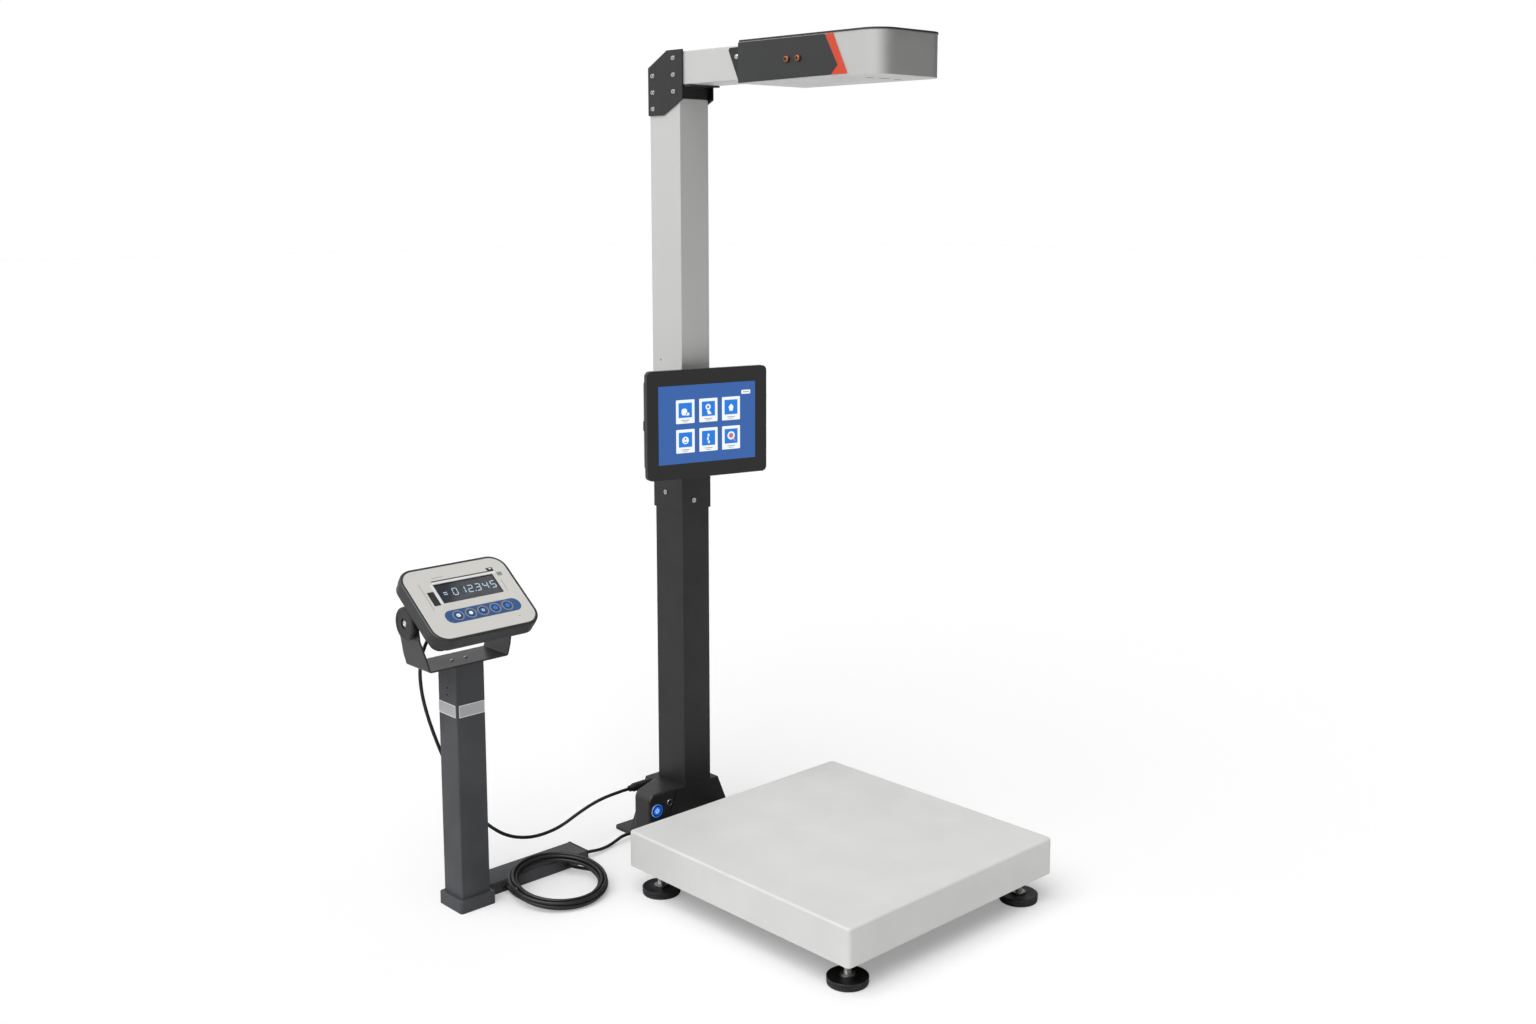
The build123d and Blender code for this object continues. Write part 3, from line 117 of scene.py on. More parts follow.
def makeFloor():  # pale floor that the camera sees as white, with the object's shadow left on it
    mesh = bpy.data.meshes.new("studioFloor")
    half = 30.0
    mesh.from_pydata([(-half, -half, 0), (half, -half, 0), (half, half, 0), (-half, half, 0)], [], [(0, 1, 2, 3)])
    floor = bpy.data.objects.new("studioFloor", mesh)
    bpy.context.scene.collection.objects.link(floor)
    paint = bpy.data.materials.new("studioPaper")
    paint.use_nodes = True
    tree = paint.node_tree
    tree.nodes.clear()
    path = addNode(tree, "ShaderNodeLightPath")
    paper = addNode(tree, "ShaderNodeBsdfDiffuse", {"Color": (studio["floorWhite"],) * 3 + (1,)})
    lift = addNode(tree, "ShaderNodeMath", {"operation": "MULTIPLY", 1: studio["floorLift"]},
                   {0: path.outputs["Is Camera Ray"]})
    glow = addNode(tree, "ShaderNodeEmission", {"Color": (1, 1, 1, 1)}, {"Strength": lift.outputs[0]})
    total = addNode(tree, "ShaderNodeAddShader", {}, {0: paper.outputs[0], 1: glow.outputs[0]})
    addNode(tree, "ShaderNodeOutputMaterial", {}, {"Surface": total.outputs[0]})
    mesh.materials.append(paint)


makeWorld()
makeSun()
makeFloor()
bpy.context.scene.view_settings.view_transform = "Standard"
print("studio ready")


# Materials, each named for the real finish

def startFinish(name, colour, roughness, metallic=0.0, ior=1.5):  # a Principled surface and its object coordinates in mm
    paint = bpy.data.materials.new(name)
    paint.use_nodes = True
    tree = paint.node_tree
    shader = tree.nodes["Principled BSDF"]
    shader.inputs["Base Color"].default_value = linear(colour)
    shader.inputs["Roughness"].default_value = roughness
    shader.inputs["Metallic"].default_value = metallic
    if metallic < 1:
        shader.inputs["IOR"].default_value = ior
    place = addNode(tree, "ShaderNodeTexCoord")
    scaled = addNode(tree, "ShaderNodeMapping", {"Scale": (1 / mm,) * 3}, {"Vector": place.outputs["Object"]})
    return paint, tree, shader, scaled.outputs["Vector"]


def grainBump(tree, shader, coords, grainMm, depthMm, detail=2.0):  # bumps of a real grain size and depth
    noise = addNode(tree, "ShaderNodeTexNoise", {"Scale": 1 / grainMm, "Detail": detail, "Roughness": 0.55}, {"Vector": coords})
    bump = addNode(tree, "ShaderNodeBump", {"Distance": depthMm * mm, "Strength": 1.0}, {"Height": noise.outputs["Fac"]})
    tree.links.new(bump.outputs["Normal"], shader.inputs["Normal"])
    return noise


def spreadRoughness(tree, shader, coords, patchMm, low, high):  # wiped and handled patches that shine unevenly
    noise = addNode(tree, "ShaderNodeTexNoise", {"Scale": 1 / patchMm, "Detail": 4.0}, {"Vector": coords})
    ramp = addNode(tree, "ShaderNodeMapRange", {"From Min": 0.3, "From Max": 0.7, "To Min": low, "To Max": high},
                   {"Value": noise.outputs["Fac"]})
    tree.links.new(ramp.outputs["Result"], shader.inputs["Roughness"])


def spreadColour(tree, shader, coords, patchMm, dark, light):  # slight clouding between two shades
    noise = addNode(tree, "ShaderNodeTexNoise", {"Scale": 1 / patchMm, "Detail": 3.0}, {"Vector": coords})
    ramp = addNode(tree, "ShaderNodeValToRGB", {}, {"Fac": noise.outputs["Fac"]})
    ramp.color_ramp.elements[0].position = 0.35
    ramp.color_ramp.elements[0].color = linear(dark)
    ramp.color_ramp.elements[1].position = 0.65
    ramp.color_ramp.elements[1].color = linear(light)
    tree.links.new(ramp.outputs["Color"], shader.inputs["Base Color"])


def powderCoat(name, dark, light, low, high, grainMm=1.6, depthMm=0.02):
    # polyester powder coat, sprayed and baked: even colour with the fine orange peel that breaks up its gloss
    paint, tree, shader, coords = startFinish(name, light, high)
    spreadColour(tree, shader, coords, 90.0, dark, light)
    spreadRoughness(tree, shader, coords, 60.0, low, high)
    grainBump(tree, shader, coords, grainMm, depthMm)
    return paint


def mouldedPlastic(name, colour, roughness, grainMm=0.8, depthMm=0.02):
    # ABS moulded in a spark-eroded tool: a fine dry grain over the whole surface
    paint, tree, shader, coords = startFinish(name, colour, roughness, ior=1.53)
    grainBump(tree, shader, coords, grainMm, depthMm)
    spreadRoughness(tree, shader, coords, 40.0, roughness - 0.05, roughness + 0.05)
    return paint


def brushedMetal(name, colour, roughness, metallic=1.0, along=(1, 1, 60), strokeMm=0.5, depthMm=0.01):
    # metal drawn over an abrasive belt: long fine strokes that stretch the highlight across them
    paint, tree, shader, coords = startFinish(name, colour, roughness, metallic)
    stretch = addNode(tree, "ShaderNodeMapping", {"Scale": tuple(1 / s for s in along)}, {"Vector": coords})
    noise = addNode(tree, "ShaderNodeTexNoise", {"Scale": 1 / strokeMm, "Detail": 3.0}, {"Vector": stretch.outputs["Vector"]})
    ramp = addNode(tree, "ShaderNodeMapRange", {"From Min": 0.3, "From Max": 0.7, "To Min": roughness - 0.06,
                   "To Max": roughness + 0.06}, {"Value": noise.outputs["Fac"]})
    bump = addNode(tree, "ShaderNodeBump", {"Distance": depthMm * mm}, {"Height": noise.outputs["Fac"]})
    tree.links.new(ramp.outputs["Result"], shader.inputs["Roughness"])
    tree.links.new(bump.outputs["Normal"], shader.inputs["Normal"])
    return paint


def smoothRubber(name, colour, roughness=0.5):
    # nitrile or PVC with a skin straight from the mould or the extruder: dull, slightly waxy
    paint, tree, shader, coords = startFinish(name, colour, roughness, ior=1.52)
    spreadRoughness(tree, shader, coords, 25.0, roughness - 0.08, roughness + 0.08)
    grainBump(tree, shader, coords, 0.9, 0.015)
    return paint


def litPrint(name, colour, strength, roughness=0.25):
    # backlit liquid crystal behind glass: its own light carries the colour, the glass over it only shines
    paint, tree, shader, coords = startFinish(name, "#08090c", roughness)
    shader.inputs["Emission Color"].default_value = linear(colour)
    shader.inputs["Emission Strength"].default_value = strength
    grainBump(tree, shader, coords, 0.5, 0.001)
    return paint


def flatPrint(name, colour, roughness=0.38):
    # screen ink on the back of a polyester film: flat colour under a faint satin texture
    paint, tree, shader, coords = startFinish(name, colour, roughness, ior=1.57)
    grainBump(tree, shader, coords, 0.45, 0.008)
    return paint


def clearGlass(name, colour):
    # float glass printed black on its back: deep colour and a clean mirror-like top
    paint, tree, shader, coords = startFinish(name, colour, 0.09, ior=1.52)
    spreadRoughness(tree, shader, coords, 30.0, 0.07, 0.14)
    return paint


finish = {
    "palePowderCoat": powderCoat("palePowderCoat", "#e4e4e2", "#e9e9e7", 0.36, 0.46),
    "framePowderCoat": powderCoat("framePowderCoat", "#1b1b1d", "#222224", 0.42, 0.55),
    "satinBlackCoat": powderCoat("satinBlackCoat", "#18181a", "#1e1e20", 0.40, 0.50, 1.2, 0.015),
    "glossBlackCoat": powderCoat("glossBlackCoat", "#0d0d0f", "#131315", 0.24, 0.34, 1.8, 0.015),
    "anthraciteCoat": powderCoat("anthraciteCoat", "#3c3d41", "#47484c", 0.44, 0.56, 0.9, 0.03),
    "yokeCoat": powderCoat("yokeCoat", "#1d1e21", "#26272a", 0.26, 0.36, 1.6, 0.015),
    "anodisedSilver": brushedMetal("anodisedSilver", "#d6d6d5", 0.42, 0.55, (1, 1, 80), 0.7, 0.004),
    "anodisedSilverAlong": brushedMetal("anodisedSilverAlong", "#d6d6d5", 0.42, 0.55, (1, 80, 1), 0.7, 0.004),
    "brushedBand": brushedMetal("brushedBand", "#c9c9c8", 0.34, 0.75, (60, 60, 1), 0.6, 0.006),
    "zincSteel": brushedMetal("zincSteel", "#c4c5c2", 0.30, 1.0, (1, 1, 1), 1.2, 0.006),
    "copperScrew": brushedMetal("copperScrew", "#b4734e", 0.30, 1.0, (1, 1, 1), 1.0, 0.004),
    "polishedSteel": brushedMetal("polishedSteel", "#dcdddd", 0.16, 1.0, (1, 1, 1), 1.5, 0.002),
    "castAluminium": brushedMetal("castAluminium", "#a5a6a7", 0.50, 1.0, (1, 1, 1), 2.2, 0.05),
    "milledAluminium": brushedMetal("milledAluminium", "#c2c4c5", 0.32, 1.0, (40, 1, 1), 0.6, 0.006),
    "blackAbs": mouldedPlastic("blackAbs", "#1a1a1b", 0.42),
    "boxAbs": mouldedPlastic("boxAbs", "#222223", 0.40, 0.9, 0.02),
    "sidePlateAbs": mouldedPlastic("sidePlateAbs", "#232425", 0.44, 1.0, 0.03),
    "caseAbs": mouldedPlastic("caseAbs", "#2a2b2d", 0.40, 0.9, 0.03),
    "knobNylon": mouldedPlastic("knobNylon", "#141415", 0.36, 1.1, 0.02),
    "glandNylon": mouldedPlastic("glandNylon", "#161617", 0.42, 0.8, 0.01),
    "orangeAbs": mouldedPlastic("orangeAbs", "#e2471f", 0.38, 0.9, 0.01),
    "paleTray": powderCoat("paleTray", "#d2d2d0", "#dcdcda", 0.40, 0.52, 1.4, 0.02),
    "footRubber": smoothRubber("footRubber", "#101011", 0.42),
    "bufferRubber": smoothRubber("bufferRubber", "#1b1b1c", 0.6),
    "leadPvc": smoothRubber("leadPvc", "#0e0e0f", 0.38),
    "keyRubber": smoothRubber("keyRubber", "#1f5390", 0.42),
    "blackGlass": clearGlass("blackGlass", "#0a0a0b"),
    "lensGlass": clearGlass("lensGlass", "#0b0d12"),
    "windowGlass": clearGlass("windowGlass", "#20262e"),
    "paleFilm": flatPrint("paleFilm", "#dcdad5"),
    "greyFilm": flatPrint("greyFilm", "#8f9092"),
    "whiteFilm": flatPrint("whiteFilm", "#eeeeee"),
    # black ink on film; also used as painted shade at the bottom of screw sockets
    "blackPrintAndShade": flatPrint("blackPrintAndShade", "#15161a"),
    "blueFilm": flatPrint("blueFilm", "#23548e"),
    "ringFilm": flatPrint("ringFilm", "#8d8c90"),
    "bandFilm": flatPrint("bandFilm", "#bdbec0", 0.30),
    "litBlueRing": litPrint("litBlueRing", "#1c6fe0", 1.0),
    # this glowing pale print also paints the white highlight dots on the first three keys
    "litPaleAndKeyHighlight": litPrint("litPaleAndKeyHighlight", "#cfe6ff", 1.1),
    "litDigits": litPrint("litDigits", "#bcd6ee", 1.0),
    "dimDigits": litPrint("dimDigits", "#2e3944", 0.5),
    "screenBlue": litPrint("screenBlue", "#2d5ea6", 1.0),
    "screenCard": litPrint("screenCard", "#f4f8fc", 1.0),
    # this glowing blue also paints the light-blue highlight dots on the last two keys
    "screenIconAndKeyHighlight": litPrint("screenIconAndKeyHighlight", "#0f79dc", 1.0),
    "screenOrange": litPrint("screenOrange", "#e8703a", 1.0),
}
nodeFinish = {
    "palePowderCoat": ["pan_cover"],
    "framePowderCoat": ["base_frame", "tie_bars"],
    "castAluminium": ["load_spider"],
    "milledAluminium": ["load_cell"],
    "bufferRubber": ["pan_buffers"],
    "zincSteel": ["cell_bolts", "lock_nuts", "collar_screws", "corner_screws"],
    "footRubber": ["foot_front_left", "foot_front_right", "foot_back_left", "foot_back_right"],
    "glandNylon": ["cell_gland", "foot_gland", "indicator_gland", "lead_plug", "bar_end_plug"],
    "satinBlackCoat": ["mast_foot", "lower_mast_tube", "mast_collar", "tablet_bracket", "tablet_yoke"],
    "anodisedSilver": ["upper_mast_tube"],
    "anodisedSilverAlong": ["arm_tube"],
    "glossBlackCoat": ["corner_plates", "under_arm_angle", "head_mount_plates"],
    "yokeCoat": ["u_bracket"],
    "brushedBand": ["head_band"],
    "sidePlateAbs": ["head_side_plates", "head_lid"],
    "paleTray": ["head_tray"],
    "orangeAbs": ["head_accents"],
    "lensGlass": ["sensor_module"],
    "boxAbs": ["control_box"],
    "polishedSteel": ["power_bezel", "service_socket"],
    "litBlueRing": ["power_cap"],
    "blackAbs": ["tablet_shell", "tablet_button"],
    "blackGlass": ["tablet_glass"],
    "anthraciteCoat": ["post_tube", "post_shoe", "foot_bar"],
    "caseAbs": ["indicator_case", "indicator_face"],
    "windowGlass": ["indicator_display"],
    "keyRubber": ["key_1", "key_2", "key_3", "key_4", "key_5"],
    "knobNylon": ["knob_left", "knob_right"],
    "leadPvc": ["indicator_lead", "mast_lead", "spare_coil", "coil_tails"],
}
for name, members in nodeFinish.items():
    for member in members:
        for slotEntry in nodes[member].material_slots:
            slotEntry.material = finish[name]
print("materials ready:", len(finish))


# Leads: each is one smooth line through the points of its route

lead = {"radius": 0.003, "sides": 14, "coilTurns": 5.5, "coilPoints": 16, "coilMean": 0.0785, "coilBundle": 0.0066,
        "coilMiddle": (-0.170, 0.2245), "coilLift": 0.0009, "coilOuter": 0.088, "coilHeight": 0.017,
        "barFront": 0.289, "barHeight": 0.022, "tailZ": 0.011}


def addObject(name, mesh, body, paint):  # puts a finished mesh on its body
    piece = bpy.data.objects.new(name, mesh)
    bpy.context.scene.collection.objects.link(piece)
    mesh.materials.clear()
    mesh.materials.append(finish[paint])
    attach(piece, body)
    return piece


def makeCurve(name, points):  # NURBS line with the route's points as its control points
    data = bpy.data.curves.new(name, "CURVE")
    data.dimensions = "3D"
    spline = data.splines.new("NURBS")
    spline.points.add(len(points) - 1)
    for point, place in zip(spline.points, points):
        point.co = (*place, 1)
    spline.order_u = 3
    spline.use_endpoint_u = True
    spline.resolution_u = 8
    return data


def lengthOf(points):
    return sum((b - a).length for a, b in zip(points, points[1:]))


def linePoints(name, points):  # points read from the smooth line
    data = makeCurve(name, points)
    holder = bpy.data.objects.new(name, data)
    bpy.context.scene.collection.objects.link(holder)
    line = bpy.data.meshes.new_from_object(holder.evaluated_get(bpy.context.evaluated_depsgraph_get()))
    read = [v.co.copy() for v in line.vertices]
    bpy.data.objects.remove(holder)
    bpy.data.curves.remove(data)
    bpy.data.meshes.remove(line)
    return read


def tubeMesh(name, path, radius, sides):  # round tube along the points, with its frame carried from ring to ring
    mesh = bpy.data.meshes.new(name)
    shape = bmesh.new()
    tangent = (path[1] - path[0]).normalized()
    across = tangent.orthogonal().normalized()
    rings = []
    for i, point in enumerate(path):
        ahead = path[min(i + 1, len(path) - 1)] - path[max(i - 1, 0)]
        across = (across - across.project(ahead)).normalized()
        up = ahead.normalized().cross(across)
        rings.append([shape.verts.new(point + (across * cos(a) + up * sin(a)) * radius)
                      for a in (2 * pi * k / sides for k in range(sides))])
    for low, high in zip(rings, rings[1:]):
        for k in range(sides):
            shape.faces.new((low[k], low[(k + 1) % sides], high[(k + 1) % sides], high[k]))
    shape.faces.new(rings[0][::-1])
    shape.faces.new(rings[-1])
    for face in shape.faces:
        face.smooth = len(face.verts) == 4
    shape.to_mesh(mesh)
    shape.free()
    return mesh


indicatorRoute = [
    (-0.350, 0.31112, 0.48250), (-0.350, 0.32170, 0.46794), (-0.352, 0.341, 0.437), (-0.354, 0.347, 0.405),
    (-0.351, 0.348, 0.368), (-0.343, 0.347, 0.330), (-0.332, 0.345, 0.292), (-0.318, 0.343, 0.252),
    (-0.303, 0.341, 0.212), (-0.284, 0.339, 0.172), (-0.260, 0.337, 0.134), (-0.231, 0.335, 0.102),
    (-0.200, 0.332, 0.078), (-0.163, 0.330, 0.064), (-0.126, 0.329, 0.060), (-0.086, 0.329, 0.064),
    (-0.045, 0.329, 0.079), (-0.006, 0.3285, 0.090), (0.033, 0.328, 0.094), (0.071, 0.328, 0.094)]
mastRoute = [(-0.056, 0.305, 0.011), (-0.042, 0.305, 0.011), (-0.020, 0.3055, 0.007), (0.006, 0.310, 0.0055),
             (0.030, 0.316, 0.008), (0.046, 0.3185, 0.0115), (0.060, 0.3185, 0.0115)]


def makeIndicatorLead():  # a round tube along the smooth line of its route
    line = linePoints("indicatorLine", indicatorRoute)
    mesh = tubeMesh("indicatorLead", line, lead["radius"], lead["sides"])
    mesh.materials.append(finish["leadPvc"])
    piece = bpy.data.objects.new("indicatorLead", mesh)
    bpy.context.scene.collection.objects.link(piece)
    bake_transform(piece)
    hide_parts("indicator_lead")
    print("indicator lead", round(lengthOf(line), 3), "m")


def makeMastLead():
    line = linePoints("mastLine", mastRoute)
    data = makeCurve("mastLead", mastRoute)
    data.bevel_depth = lead["radius"]
    data.bevel_resolution = 4
    data.use_fill_caps = True
    data.materials.append(finish["leadPvc"])
    piece = bpy.data.objects.new("mastLead", data)
    bpy.context.scene.collection.objects.link(piece)
    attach(piece, "root")
    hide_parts("mast_lead")
    print("mast lead", round(lengthOf(line), 3), "m")


def coilPlace(turns, rise):  # a point of the tilted ring: six strands that wind slowly round the bundle's middle
    middle = lead["coilMiddle"]
    lean = atan2(lead["barHeight"], lead["barFront"] - middle[1] + lead["coilOuter"])
    angle = pi + 2 * pi * turns
    phase = -pi / 2 + 2 * pi * turns / 6
    loose = 0.0006 * sin(2.3 * angle / 6 + 1.0)
    radius = lead["coilMean"] + (lead["coilBundle"] + loose) * cos(phase)
    height = lead["coilHeight"] / 2 + (lead["coilBundle"] + loose) * sin(phase) + rise
    flat = Vector((radius * cos(angle), radius * sin(angle), height))
    base = Vector((*middle, lead["coilLift"] + lead["coilOuter"] * sin(lean)))
    return base + Matrix.Rotation(lean, 3, "X") @ flat


def makeSpareCoil():  # out of the bar, round the loose coil, and back into the bar
    left, right = lead["coilMiddle"][0] - lead["coilMean"], lead["coilMiddle"][0] + lead["coilMean"]
    front, z = lead["barFront"], lead["tailZ"]
    tailIn = [(left + 0.012, front, z), (left + 0.012, front - 0.015, z), (left + 0.005, front - 0.036, z + 0.001),
              (left + 0.001, front - 0.052, z + 0.003)]
    tailOut = [(2 * lead["coilMiddle"][0] - x, y, h) for x, y, h in tailIn]
    steps = int(lead["coilTurns"] * lead["coilPoints"])
    turns = [coilPlace(k / lead["coilPoints"], 0) for k in range(steps + 1)]
    route = [Vector(p) for p in tailIn] + turns + [Vector(p) for p in reversed(tailOut)]
    line = linePoints("coilLine", route)
    data = makeCurve("spareLead", route)
    data.bevel_depth = lead["radius"]
    data.bevel_resolution = 3
    data.use_fill_caps = True
    data.materials.append(finish["leadPvc"])
    piece = bpy.data.objects.new("spareLead", data)
    bpy.context.scene.collection.objects.link(piece)
    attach(piece, "root")
    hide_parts("spare_coil", "coil_tails")
    print("spare lead", round(lengthOf(line), 3), "m")


makeIndicatorLead()
makeMastLead()
makeSpareCoil()


# Small shapes: outlines in millimetres on a placed plane, and turned shapes about an upright axis

def placeOn(origin, out, up):  # millimetre plane in the frame: x to the right, y up, z out of the surface
    out, up = Vector(out).normalized(), Vector(up).normalized()
    right = up.cross(out)
    turned = Matrix((right, up, out)).transposed().to_4x4() @ Matrix.Scale(mm, 4)
    return Matrix.Translation(Vector(origin) * mm) @ turned


def roundedRect(x, y, width, height, radius, steps=6):
    points = []
    for i, (cx, cy) in enumerate(((1, 1), (-1, 1), (-1, -1), (1, -1))):
        for k in range(steps + 1):
            a = (i + k / steps) * pi / 2
            points.append((x + cx * (width / 2 - radius) + radius * cos(a), y + cy * (height / 2 - radius) + radius * sin(a)))
    return points


def disc(x, y, radius, steps=36):
    return [(x + radius * cos(2 * pi * k / steps), y + radius * sin(2 * pi * k / steps)) for k in range(steps)]


def arcBand(x, y, radius, width, start, end, steps=20):  # part of a ring, angles in degrees
    angles = [radians(start + (end - start) * k / steps) for k in range(steps + 1)]
    outer = [(x + (radius + width / 2) * cos(a), y + (radius + width / 2) * sin(a)) for a in angles]
    inner = [(x + (radius - width / 2) * cos(a), y + (radius - width / 2) * sin(a)) for a in reversed(angles)]
    return outer + inner


def bar(x, y, width, height):
    return [(x - width / 2, y - height / 2), (x + width / 2, y - height / 2), (x + width / 2, y + height / 2),
            (x - width / 2, y + height / 2)]


def flatPiece(name, loops, low, high, place, body, paint, edge=0.0):  # loops inside others are openings
    data = bpy.data.curves.new(name, "CURVE")
    data.dimensions = "2D"
    data.fill_mode = "BOTH"
    data.extrude = (high - low) / 2 - edge
    data.bevel_depth = edge
    data.bevel_resolution = 2
    data.offset = -edge
    for loop in loops:
        spline = data.splines.new("POLY")
        spline.points.add(len(loop) - 1)
        for point, (x, y) in zip(spline.points, loop):
            point.co = (x, y, 0, 1)
        spline.use_cyclic_u = True
    mesh = meshOf(name, data)
    mesh.transform(place @ Matrix.Translation((0, 0, (low + high) / 2)))
    return addObject(name, mesh, body, paint)


def meshOf(name, data, modify=None):  # plain mesh of a curve, or of a mesh with its modifier applied
    holder = bpy.data.objects.new(name, data)
    bpy.context.scene.collection.objects.link(holder)
    if modify:
        modify(holder)
    mesh = bpy.data.meshes.new_from_object(holder.evaluated_get(bpy.context.evaluated_depsgraph_get()))
    bpy.data.objects.remove(holder)
    mesh.name = name
    return mesh


def latheMesh(name, profile, sides=48):  # (radius, height) points in millimetres turned about z
    mesh = bpy.data.meshes.new(name)
    shape = bmesh.new()
    rings = [[shape.verts.new((r * cos(2 * pi * k / sides), r * sin(2 * pi * k / sides), z)) for k in range(sides)]
             if r > 0 else [shape.verts.new((0, 0, z))] for r, z in profile]
    for low, high in zip(rings, rings[1:]):
        for k in range(sides):
            a, b = low[k % len(low)], low[(k + 1) % sides % len(low)]
            c, d = high[(k + 1) % sides % len(high)], high[k % len(high)]
            corners = list(dict.fromkeys((a, b, c, d)))
            shape.faces.new(corners)
    for face in shape.faces:
        face.smooth = True
    bmesh.ops.recalc_face_normals(shape, faces=shape.faces)
    shape.to_mesh(mesh)
    shape.free()
    mesh.set_sharp_from_angle(angle=radians(32))
    return mesh


def turnedPiece(name, profile, place, body, paint, sides=48):
    mesh = latheMesh(name, profile, sides)
    mesh.transform(place)
    return addObject(name, mesh, body, paint)


def makeRepeatTree():  # sets one shape on every spot, facing out of the surface and rolled at random
    tree = bpy.data.node_groups.new("repeatOnSpots", "GeometryNodeTree")
    for name, kind in (("Spots", "NodeSocketGeometry"), ("Shape", "NodeSocketObject"), ("Roll", "NodeSocketFloat"),
                       ("Seed", "NodeSocketInt"), ("Paint", "NodeSocketMaterial")):
        tree.interface.new_socket(name, in_out="INPUT", socket_type=kind)
    tree.interface.new_socket("Pieces", in_out="OUTPUT", socket_type="NodeSocketGeometry")
    given = addNode(tree, "NodeGroupInput").outputs
    facing = addNode(tree, "GeometryNodeInputNamedAttribute", {"data_type": "FLOAT_VECTOR", "Name": "facing"})
    align = addNode(tree, "FunctionNodeAlignRotationToVector", {"axis": "Z"}, {"Vector": facing.outputs["Attribute"]})
    roll = addNode(tree, "FunctionNodeRandomValue", {"data_type": "FLOAT"}, {3: given["Roll"], "Seed": given["Seed"]})
    spin = addNode(tree, "FunctionNodeAxisAngleToRotation", {"Axis": (0, 0, 1)}, {"Angle": roll.outputs[1]})
    turned = addNode(tree, "FunctionNodeRotateRotation", {"rotation_space": "LOCAL"},
                     {"Rotation": align.outputs[0], "Rotate By": spin.outputs[0]})
    shape = addNode(tree, "GeometryNodeObjectInfo", {}, {"Object": given["Shape"]})
    copies = addNode(tree, "GeometryNodeInstanceOnPoints", {}, {"Points": given["Spots"], "Instance": shape.outputs["Geometry"],
                     "Rotation": turned.outputs[0]})
    real = addNode(tree, "GeometryNodeRealizeInstances", {}, {"Geometry": copies.outputs[0]})
    painted = addNode(tree, "GeometryNodeSetMaterial", {}, {"Geometry": real.outputs[0], "Material": given["Paint"]})
    addNode(tree, "NodeGroupOutput", {}, {0: painted.outputs[0]})
    return tree


repeatTree = makeRepeatTree()


def repeatOnSpots(name, spots, shapeMesh, body, paint, roll=0.0, seed=4):
    points = bpy.data.meshes.new(name)
    points.from_pydata([tuple(c * mm for c in place) for place, out in spots], [], [])
    facing = points.attributes.new("facing", "FLOAT_VECTOR", "POINT")
    for entry, (place, out) in zip(facing.data, spots):
        entry.vector = out
    shape = bpy.data.objects.new(name + "Shape", shapeMesh)
    bpy.context.scene.collection.objects.link(shape)
    values = {"Shape": shape, "Roll": roll, "Seed": seed, "Paint": finish[paint]}

    def modify(holder):
        modifier = holder.modifiers.new("repeat", "NODES")
        modifier.node_group = repeatTree
        for item in repeatTree.interface.items_tree:
            if item.in_out == "INPUT" and item.name in values:
                modifier[item.identifier] = values[item.name]

    mesh = meshOf(name, points, modify)
    bpy.data.objects.remove(shape)
    return addObject(name, mesh, body, paint)


def scaledMesh(mesh):  # millimetres to metres, for a shape that is set on spots
    mesh.transform(Matrix.Scale(mm, 4))
    return mesh


# Feet: hard rubber disc with a ribbed wall, washer and threaded steel stem

foot = {"spots": {"foot_front_left": (-41.0, -341.0), "foot_front_right": (381.0, -341.0),
                  "foot_back_left": (-41.0, 101.0), "foot_back_right": (381.0, 101.0)},
        "radius": 33.0, "wall": 12.6, "stem": 6.0, "stemTop": 58.0, "pitch": 1.75, "ribs": 60}


def makeFeet():
    r, wall, s = foot["radius"], foot["wall"], foot["stem"]
    pad = [(0, 0), (r - 3, 0), (r - 1.2, 0.5), (r - 0.6, 1.6), (r - 0.6, 2.4), (r - 0.8, 2.6), (r - 0.8, wall - 2.2),
           (r, wall - 1.8), (r, wall - 0.5), (r - 0.6, wall), (r - 3, wall + 0.2), (r - 4, wall - 0.3), (14, wall + 0.7),
           (13, wall + 1.6), (0, wall + 1.6)]
    top = wall + 1.6
    turns = int((foot["stemTop"] - top - 5) / foot["pitch"])
    thread = [p for k in range(turns) for p in ((s, top + 4 + k * foot["pitch"]), (s - 0.7, top + 4 + (k + 0.5) * foot["pitch"]))]
    stem = [(0, top - 1), (11.4, top - 1), (11.8, top), (11.8, top + 1.6), (11.4, top + 2), (s + 0.8, top + 2), (s - 0.3, top + 3.2)]
    stem += thread + [(s - 1, foot["stemTop"]), (0, foot["stemTop"])]
    for name, (x, y) in foot["spots"].items():
        place = placeOn((x, y, 0), (0, 0, 1), (0, 1, 0))
        body = name + "_body"
        piece = turnedPiece(name + "Pad", pad, place, body, "footRubber", 72)
        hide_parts(name)
        turnedPiece(name + "Stem", stem, place, body, "zincSteel", 24)
        spots = [((x + (r - 0.8) * cos(a), y + (r - 0.8) * sin(a), wall / 2 + 0.1), (cos(a), sin(a), 0))
                 for a in (2 * pi * k / foot["ribs"] for k in range(foot["ribs"]))]
        rib = latheMesh("rib", [(0, -4.0), (0.55, -4.0), (0.55, 4.0), (0, 4.0)], 8)
        rib.transform(Matrix.Rotation(pi / 2, 4, "X"))
        repeatOnSpots(name + "Ribs", spots, scaledMesh(rib), body, "footRubber")
    print("feet ready")


# Screws: dark discs as painted shade in the sockets of the CAD heads, copper screws on the head's side plate, and small
# ones elsewhere

screws = {"headOut": 2.6, "socketRadius": 1.75, "cornerLeft": 133.5, "cornerRight": 206.5,
          "corner": [(257.0, 1424.0), (257.0, 1395.5), (257.0, 1367.0), (313.0, 1396.0), (313.0, 1367.5), (313.0, 1339.0)],
          "copper": [(-69.0, 1400.0), (-94.0, 1400.0)], "copperRadius": 5.2,
          "mount": [(93.7, 1416.0)], "yoke": (-292.4, 302.3, 427.0)}


